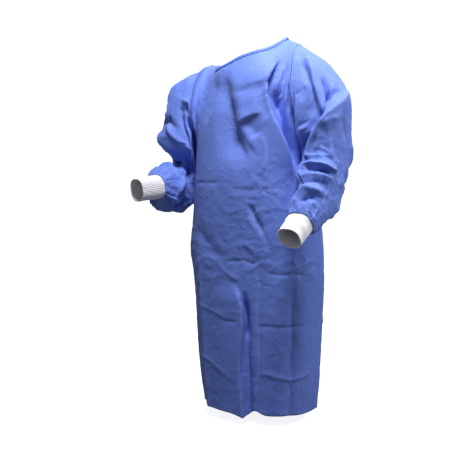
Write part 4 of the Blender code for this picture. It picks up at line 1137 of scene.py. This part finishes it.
def tapeRing(edge, normal, down, tree, off, at):
    # a closed section of the folded tape: over the cloth, round the edge and under the cloth
    stitch = binding["stitch"] * math.cos(at / binding["stitchPitch"] * 2 * math.pi)
    ripple = sum(size * math.sin(at * often + start) for size, often, start in binding["ripples"])
    inner, outer = [], []
    for share, dented in binding["across"]:
        foot, _, _, _ = tree.find_nearest(Vector(edge + down * (binding["width"] * share + ripple)))
        foot = np.array(foot)
        puff = binding["wall"] + binding["puff"] * math.sin(math.pi * share)
        puff -= (binding["dent"] - stitch) * dented
        inner.append(foot + normal * off)
        outer.append(foot + normal * (off + puff))
    arc = [(math.cos(math.radians(angle)), math.sin(math.radians(angle))) for angle in binding["bend"]]
    rise, wide = binding["gap"] * binding["rise"], off + binding["wall"]
    high = rise + binding["wall"]
    backOuter = [q - normal * (2 * off + np.dot(p - q, normal)) for p, q in zip(outer, inner)]
    backInner = [q - normal * 2 * off for q in inner]
    ring = outer + [edge - down * high * c + normal * wide * s for c, s in arc]
    ring += backOuter[::-1] + backInner
    ring += [edge - down * rise * c + normal * off * s for c, s in arc[::-1]]
    return ring + inner[::-1]


def makeBinding():
    names = ("front_panel", "back_left_panel", "back_right_panel")
    front, left, right = (clothGrids[n][-binding["seenRows"]:] for n in names)
    edges, even, joins = neckEdge(front, left, right)
    centre = edges.mean(axis=0)
    tangents = np.gradient(edges, axis=0)
    rightTree, leftTree = searchTree(right, front), searchTree(left, front)
    trees = [rightTree if at <= joins[0] else leftTree for at in even]
    normals, downs = [], []
    for edge, tree, tangent in zip(edges, trees, tangents):
        away = (edge - centre) * np.array([1.0, 1.0, 0.0])
        _, normal, _, _ = tree.find_nearest(Vector(edge))
        normals.append(facing(np.array(normal), away + np.array([0.0, 0.0, 0.1])))
        downs.append(facing(np.cross(normals[-1], tangent), away - np.array([0.0, 0.0, 0.1])))
    normals, downs = np.array(normals), np.array(downs)
    rounded(normals, binding["wayRounds"], directions=True)
    rounded(downs, binding["wayRounds"], directions=True)
    sections = []
    for i, at in enumerate(even):
        ease = binding["ease"] * max(0.0, 1 - min(abs(at - j) for j in joins) / binding["easeReach"])
        off = body["clothWall"] / 2 + binding["gap"] + ease
        sections.append(tapeRing(edges[i], normals[i], downs[i], trees[i], off, at))
    sections = np.array(sections)
    size = sections.shape[1]
    faces = []
    for i in range(len(sections) - 1):
        for k in range(size):
            a, b = i * size + k, i * size + (k + 1) % size
            faces.append((a, b, b + size, a + size))
    mesh = bpy.data.meshes.new("neck_binding_tape")
    mesh.from_pydata(sections.reshape(-1, 3).tolist(), [], faces)
    bm = bmesh.new()
    bm.from_mesh(mesh)
    bmesh.ops.holes_fill(bm, edges=[e for e in bm.edges if e.is_boundary], sides=0)
    bmesh.ops.triangulate(bm, faces=[f for f in bm.faces if len(f.verts) > 4])
    bmesh.ops.recalc_face_normals(bm, faces=bm.faces)
    layer = bm.loops.layers.uv.new("cloth")
    around = running(np.linalg.norm(np.diff(sections.mean(axis=0), axis=0), axis=1))
    for face in bm.faces:
        face.smooth = len(face.verts) == 4
        for loop in face.loops:
            i, k = divmod(loop.vert.index, size)
            loop[layer].uv = (even[i], around[k])
    bm.to_mesh(mesh)
    bm.free()
    mark = mesh.attributes.new("crease", "FLOAT", "POINT")
    mark.data.foreach_set("value", np.zeros(len(mesh.vertices), np.float32))
    return stand(placed("neck_binding_tape", mesh, trimLook), "neck_binding")


sewn["neck_binding"] = makeBinding()
print("neck bound")


# tab at the neck and the ties, small strips that lie on the back
strips = dict(
    # run: how far down from the edge and how far out, along the tab
    tab=dict(width=0.016, wall=0.0012,
             run=[(0.026, 0.0046), (0.014, 0.0058), (0.002, 0.0068), (-0.005, 0.0074), (-0.009, 0.0092)]),
    tie=dict(width=0.014, wall=0.0010, length=0.300, top=-0.520, off=0.0038, steps=90, under=0.004,
             sway=0.9, lift=0.0010, twist=0.35, rounds=20),
    # all: ridges beside the edges, the stitched middle, and waves across
    across=15, ridge=0.0004, stitched=0.0003, wave=0.0004, ridgePlace=0.8, ridgeReach=0.12,
)


def lying(grid, normals, row, column, off):
    rows, columns = grid.shape[:2]
    r, c = min(max(row, 0.0), rows - 1.001), min(max(column, 0.0), columns - 1.001)
    i, j, fr, fc = int(r), int(c), r - int(r), c - int(c)

    def blend(values):
        low = values[i, j] * (1 - fc) + values[i, j + 1] * fc
        high = values[i + 1, j] * (1 - fc) + values[i + 1, j + 1] * fc
        return low * (1 - fr) + high * fr

    point, normal = blend(grid), blend(normals)
    if normal[1] < 0:
        normal = -normal
    return point + normal / np.linalg.norm(normal) * off


def addStrip(name, spine, sideways, out, settings, node):
    # a flat tape: a row of sections across a spine, with folded-in edges and a stitched middle
    across = np.linspace(-1, 1, strips["across"])
    ridges = np.exp(-((np.abs(across) - strips["ridgePlace"]) / strips["ridgeReach"]) ** 2)
    stitches = np.exp(-(across / strips["ridgeReach"]) ** 2)
    grid = []
    for i, (p, s, n) in enumerate(zip(spine, sideways, out)):
        bulge = strips["ridge"] * ridges - strips["stitched"] * stitches
        ripple = strips["wave"] * math.sin(i * 1.9)
        grid.append(p + np.outer(across * settings["width"] / 2, s) + np.outer(bulge + ripple * across, n))
    grid = np.array(grid)
    outward = np.broadcast_to(np.array(out)[:, None, :], grid.shape)
    piece = addShell(name, grid, settings["wall"], False, trimLook, None, outward)
    return stand(piece, node)


def makeTie(side, label, place):
    # place is how far to the wearer's left its top is sewn
    grid = clothGrids["back_%s_panel" % label]
    normals = gridNormals(grid, False)
    settings = strips["tie"]
    level = grid[int(np.argmin(np.abs(grid[:, 0, 2] - settings["top"])))]
    column = int(np.argmin(np.abs(level[:, 0] - place) + (level[:, 1] < 0)))
    heights = grid[:, column, 2]
    steps = settings["steps"]
    spine, sideways, out = [], [], []
    for i in range(steps + 1):
        t = i / steps
        row = np.interp(settings["top"] - settings["length"] * t, heights, np.arange(len(heights)))
        sway = settings["sway"] * math.sin(t * 5.0 + side) * t
        reach = 0.5 if t < 0.02 else 1.0
        off = settings["off"] + settings["lift"] * math.sin(t * 9) * t
        p = lying(grid, normals, row, column + sway, off)
        a, b = (lying(grid, normals, row, column + sway + aside, settings["under"]) for aside in (-2, 2))
        s = (b - a) / np.linalg.norm(b - a)
        n = facing(np.cross(s, np.array([0.0, 0.0, 1.0])), np.array([0.0, 1.0, 0.0]))
        turn = settings["twist"] * math.sin(t * 7 + side) * t
        spine.append(p)
        sideways.append(s * math.cos(turn) + n * math.sin(turn) * reach)
        out.append(n * math.cos(turn) - s * math.sin(turn))
    spine = np.array(spine)
    rounded(spine, settings["rounds"])
    return addStrip("waist_tie_%s_tape" % label, spine, sideways, out, settings, "waist_tie_" + label)


def makeTab():
    # it follows its CAD solid, with a rounded end
    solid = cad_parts["neck_tab"].data
    points = np.array([v.co[:] for v in solid.vertices])
    middle = points.mean(axis=0)
    settings = strips["tab"]
    grid = clothGrids["back_left_panel"]
    normals = gridNormals(grid, False)
    column = (lapColumns + neckColumns - 0.6) * body["fineness"]
    top = len(grid) - 1
    edge = lying(grid, normals, top, column, 0.0)
    under = lying(grid, normals, top - 8, column, 0.0)
    down = (under - edge) / np.linalg.norm(under - edge)
    side = lying(grid, normals, top, column + 1.5, 0.0) - lying(grid, normals, top, column - 1.5, 0.0)
    side /= np.linalg.norm(side)
    out = np.cross(side, down)
    if out[1] + out[2] < 0:
        out = -out
    run = np.array(settings["run"])
    profile = splineAt(run, np.linspace(0, len(run) - 1, 40))
    spine = np.array([edge + down * d + out * off for d, off in profile])
    if np.linalg.norm(middle - spine.mean(axis=0)) > 0.01:
        spine += middle - (spine.min(axis=0) + spine.max(axis=0)) / 2
    return addStrip("neck_tab_tape", spine, [side] * len(spine), [out] * len(spine), settings, "neck_tab")


sewn["waist_tie_left"] = makeTie(1, "left", -0.0544)
sewn["waist_tie_right"] = makeTie(-1, "right", -0.1200)
sewn["neck_tab"] = makeTab()
print("tab and ties made")


# floor, lights and camera
studio = dict(
    floor=-1.213,
    aim=(0.0, 0.0, -0.583),
    azimuth=30,
    distance=2.12,
    fieldOfView=39.02,
    shift=(-0.067, -0.0165),
    world=0.16,
    floorGlow=0.86,
    flatRadius=3.4,
    bendRadius=1.8,
    wallHeight=7.0,
)


def makeFloor():
    # a pale floor that sweeps up into walls all round, so no horizon shows
    flat, bend, steps, around = studio["flatRadius"], studio["bendRadius"], 12, 96
    profile = [(0.0, 0.0), (1.6, 0.0), (flat, 0.0)]
    for i in range(1, steps + 1):
        a = math.pi / 2 * i / steps
        profile.append((flat + bend * math.sin(a), bend - bend * math.cos(a)))
    profile.append((flat + bend, studio["wallHeight"]))
    vertices, faces = [(0.0, 0.0, studio["floor"])], []
    for radius, height in profile[1:]:
        for k in range(around):
            a = 2 * math.pi * k / around
            vertices.append((radius * math.cos(a), radius * math.sin(a), studio["floor"] + height))
    faces += [(0, 1 + k, 1 + (k + 1) % around) for k in range(around)]
    for ring in range(len(profile) - 2):
        low, high = 1 + ring * around, 1 + (ring + 1) * around
        for k in range(around):
            faces.append((low + k, high + k, high + (k + 1) % around, low + (k + 1) % around))
    mesh = bpy.data.meshes.new("studio_floor")
    mesh.from_pydata(vertices, [], faces)
    mesh.shade_smooth()
    look = newLook("studio_paper", {
        "Base Color": (0.93, 0.93, 0.93, 1.0), "Roughness": 0.95, "Specular IOR Level": 0.0,
        "Emission Color": (1.0, 1.0, 1.0, 1.0), "Emission Strength": studio["floorGlow"]})[0]
    floor = placed("studio_floor", mesh, look)
    # the paper doesn't light the cloth
    floor.visible_diffuse = False
    floor.visible_glossy = False
    floor.visible_shadow = False


# degrees round from the front and up, distance, height aimed at, size, power and colour
lamps = dict(
    key=(34, 54, 1.32, -0.08, 0.46, 37.5, (1.0, 0.99, 0.97)),
    side=(110, 24, 2.0, -0.38, 0.45, 25, (0.97, 0.98, 1.0)),
    front_fill=(12, 12, 3.0, -0.60, 0.9, 2.5, (0.96, 0.98, 1.0)),
    back_fill=(205, 35, 3.2, -0.40, 1.8, 20, (0.96, 0.98, 1.0)),
)


def areaLight(name, azimuth, elevation, distance, height, size, power, colour):
    a, e = math.radians(azimuth), math.radians(elevation)
    way = Vector((math.sin(a) * math.cos(e), -math.cos(a) * math.cos(e), math.sin(e)))
    data = bpy.data.lights.new(name, "AREA")
    data.shape = "DISK"
    data.size = size
    data.energy = power
    data.color = colour
    lamp = bpy.data.objects.new(name, data)
    aim = Vector((0.0, 0.0, height))
    lamp.location = aim + way * distance
    lamp.rotation_euler = way.to_track_quat("Z", "Y").to_euler()
    bpy.context.scene.collection.objects.link(lamp)


def makeStudio():
    makeFloor()
    for name, values in lamps.items():
        areaLight(name, *values)
    world = bpy.data.worlds.new("studio_world")
    bpy.context.scene.world = world
    world.use_nodes = True
    # seen white, but it lights the cloth softly
    tree = world.node_tree
    lit = tree.nodes["Background"]
    lit.inputs["Color"].default_value = (0.93, 0.96, 1.0, 1.0)
    lit.inputs["Strength"].default_value = studio["world"]
    seen = node(tree, "ShaderNodeBackground", (0, -200), "Background",
                {"Color": (1.0, 1.0, 1.0, 1.0), "Strength": 1.0})
    straight = node(tree, "ShaderNodeLightPath", (0, 200), "Is Camera Ray")
    mix = node(tree, "ShaderNodeMixShader", (200, 0), "Shader",
               {"Fac": straight, 1: lit.outputs["Background"], 2: seen})
    tree.links.new(mix, tree.nodes["World Output"].inputs["Surface"])


def makeCamera():
    data = bpy.data.cameras.new("camera")
    data.angle = math.radians(studio["fieldOfView"])
    data.shift_x, data.shift_y = studio["shift"]
    data.clip_start = 0.05
    camera = bpy.data.objects.new("camera", data)
    a = math.radians(studio["azimuth"])
    way = Vector((math.sin(a), -math.cos(a), 0.0))
    camera.location = Vector(studio["aim"]) + way * studio["distance"]
    camera.rotation_euler = way.to_track_quat("Z", "Y").to_euler()
    bpy.context.scene.collection.objects.link(camera)
    bpy.context.scene.camera = camera


makeStudio()
makeCamera()
bpy.context.scene.view_settings.view_transform = "Standard"
bpy.context.scene.view_settings.look = "None"
print("studio made")
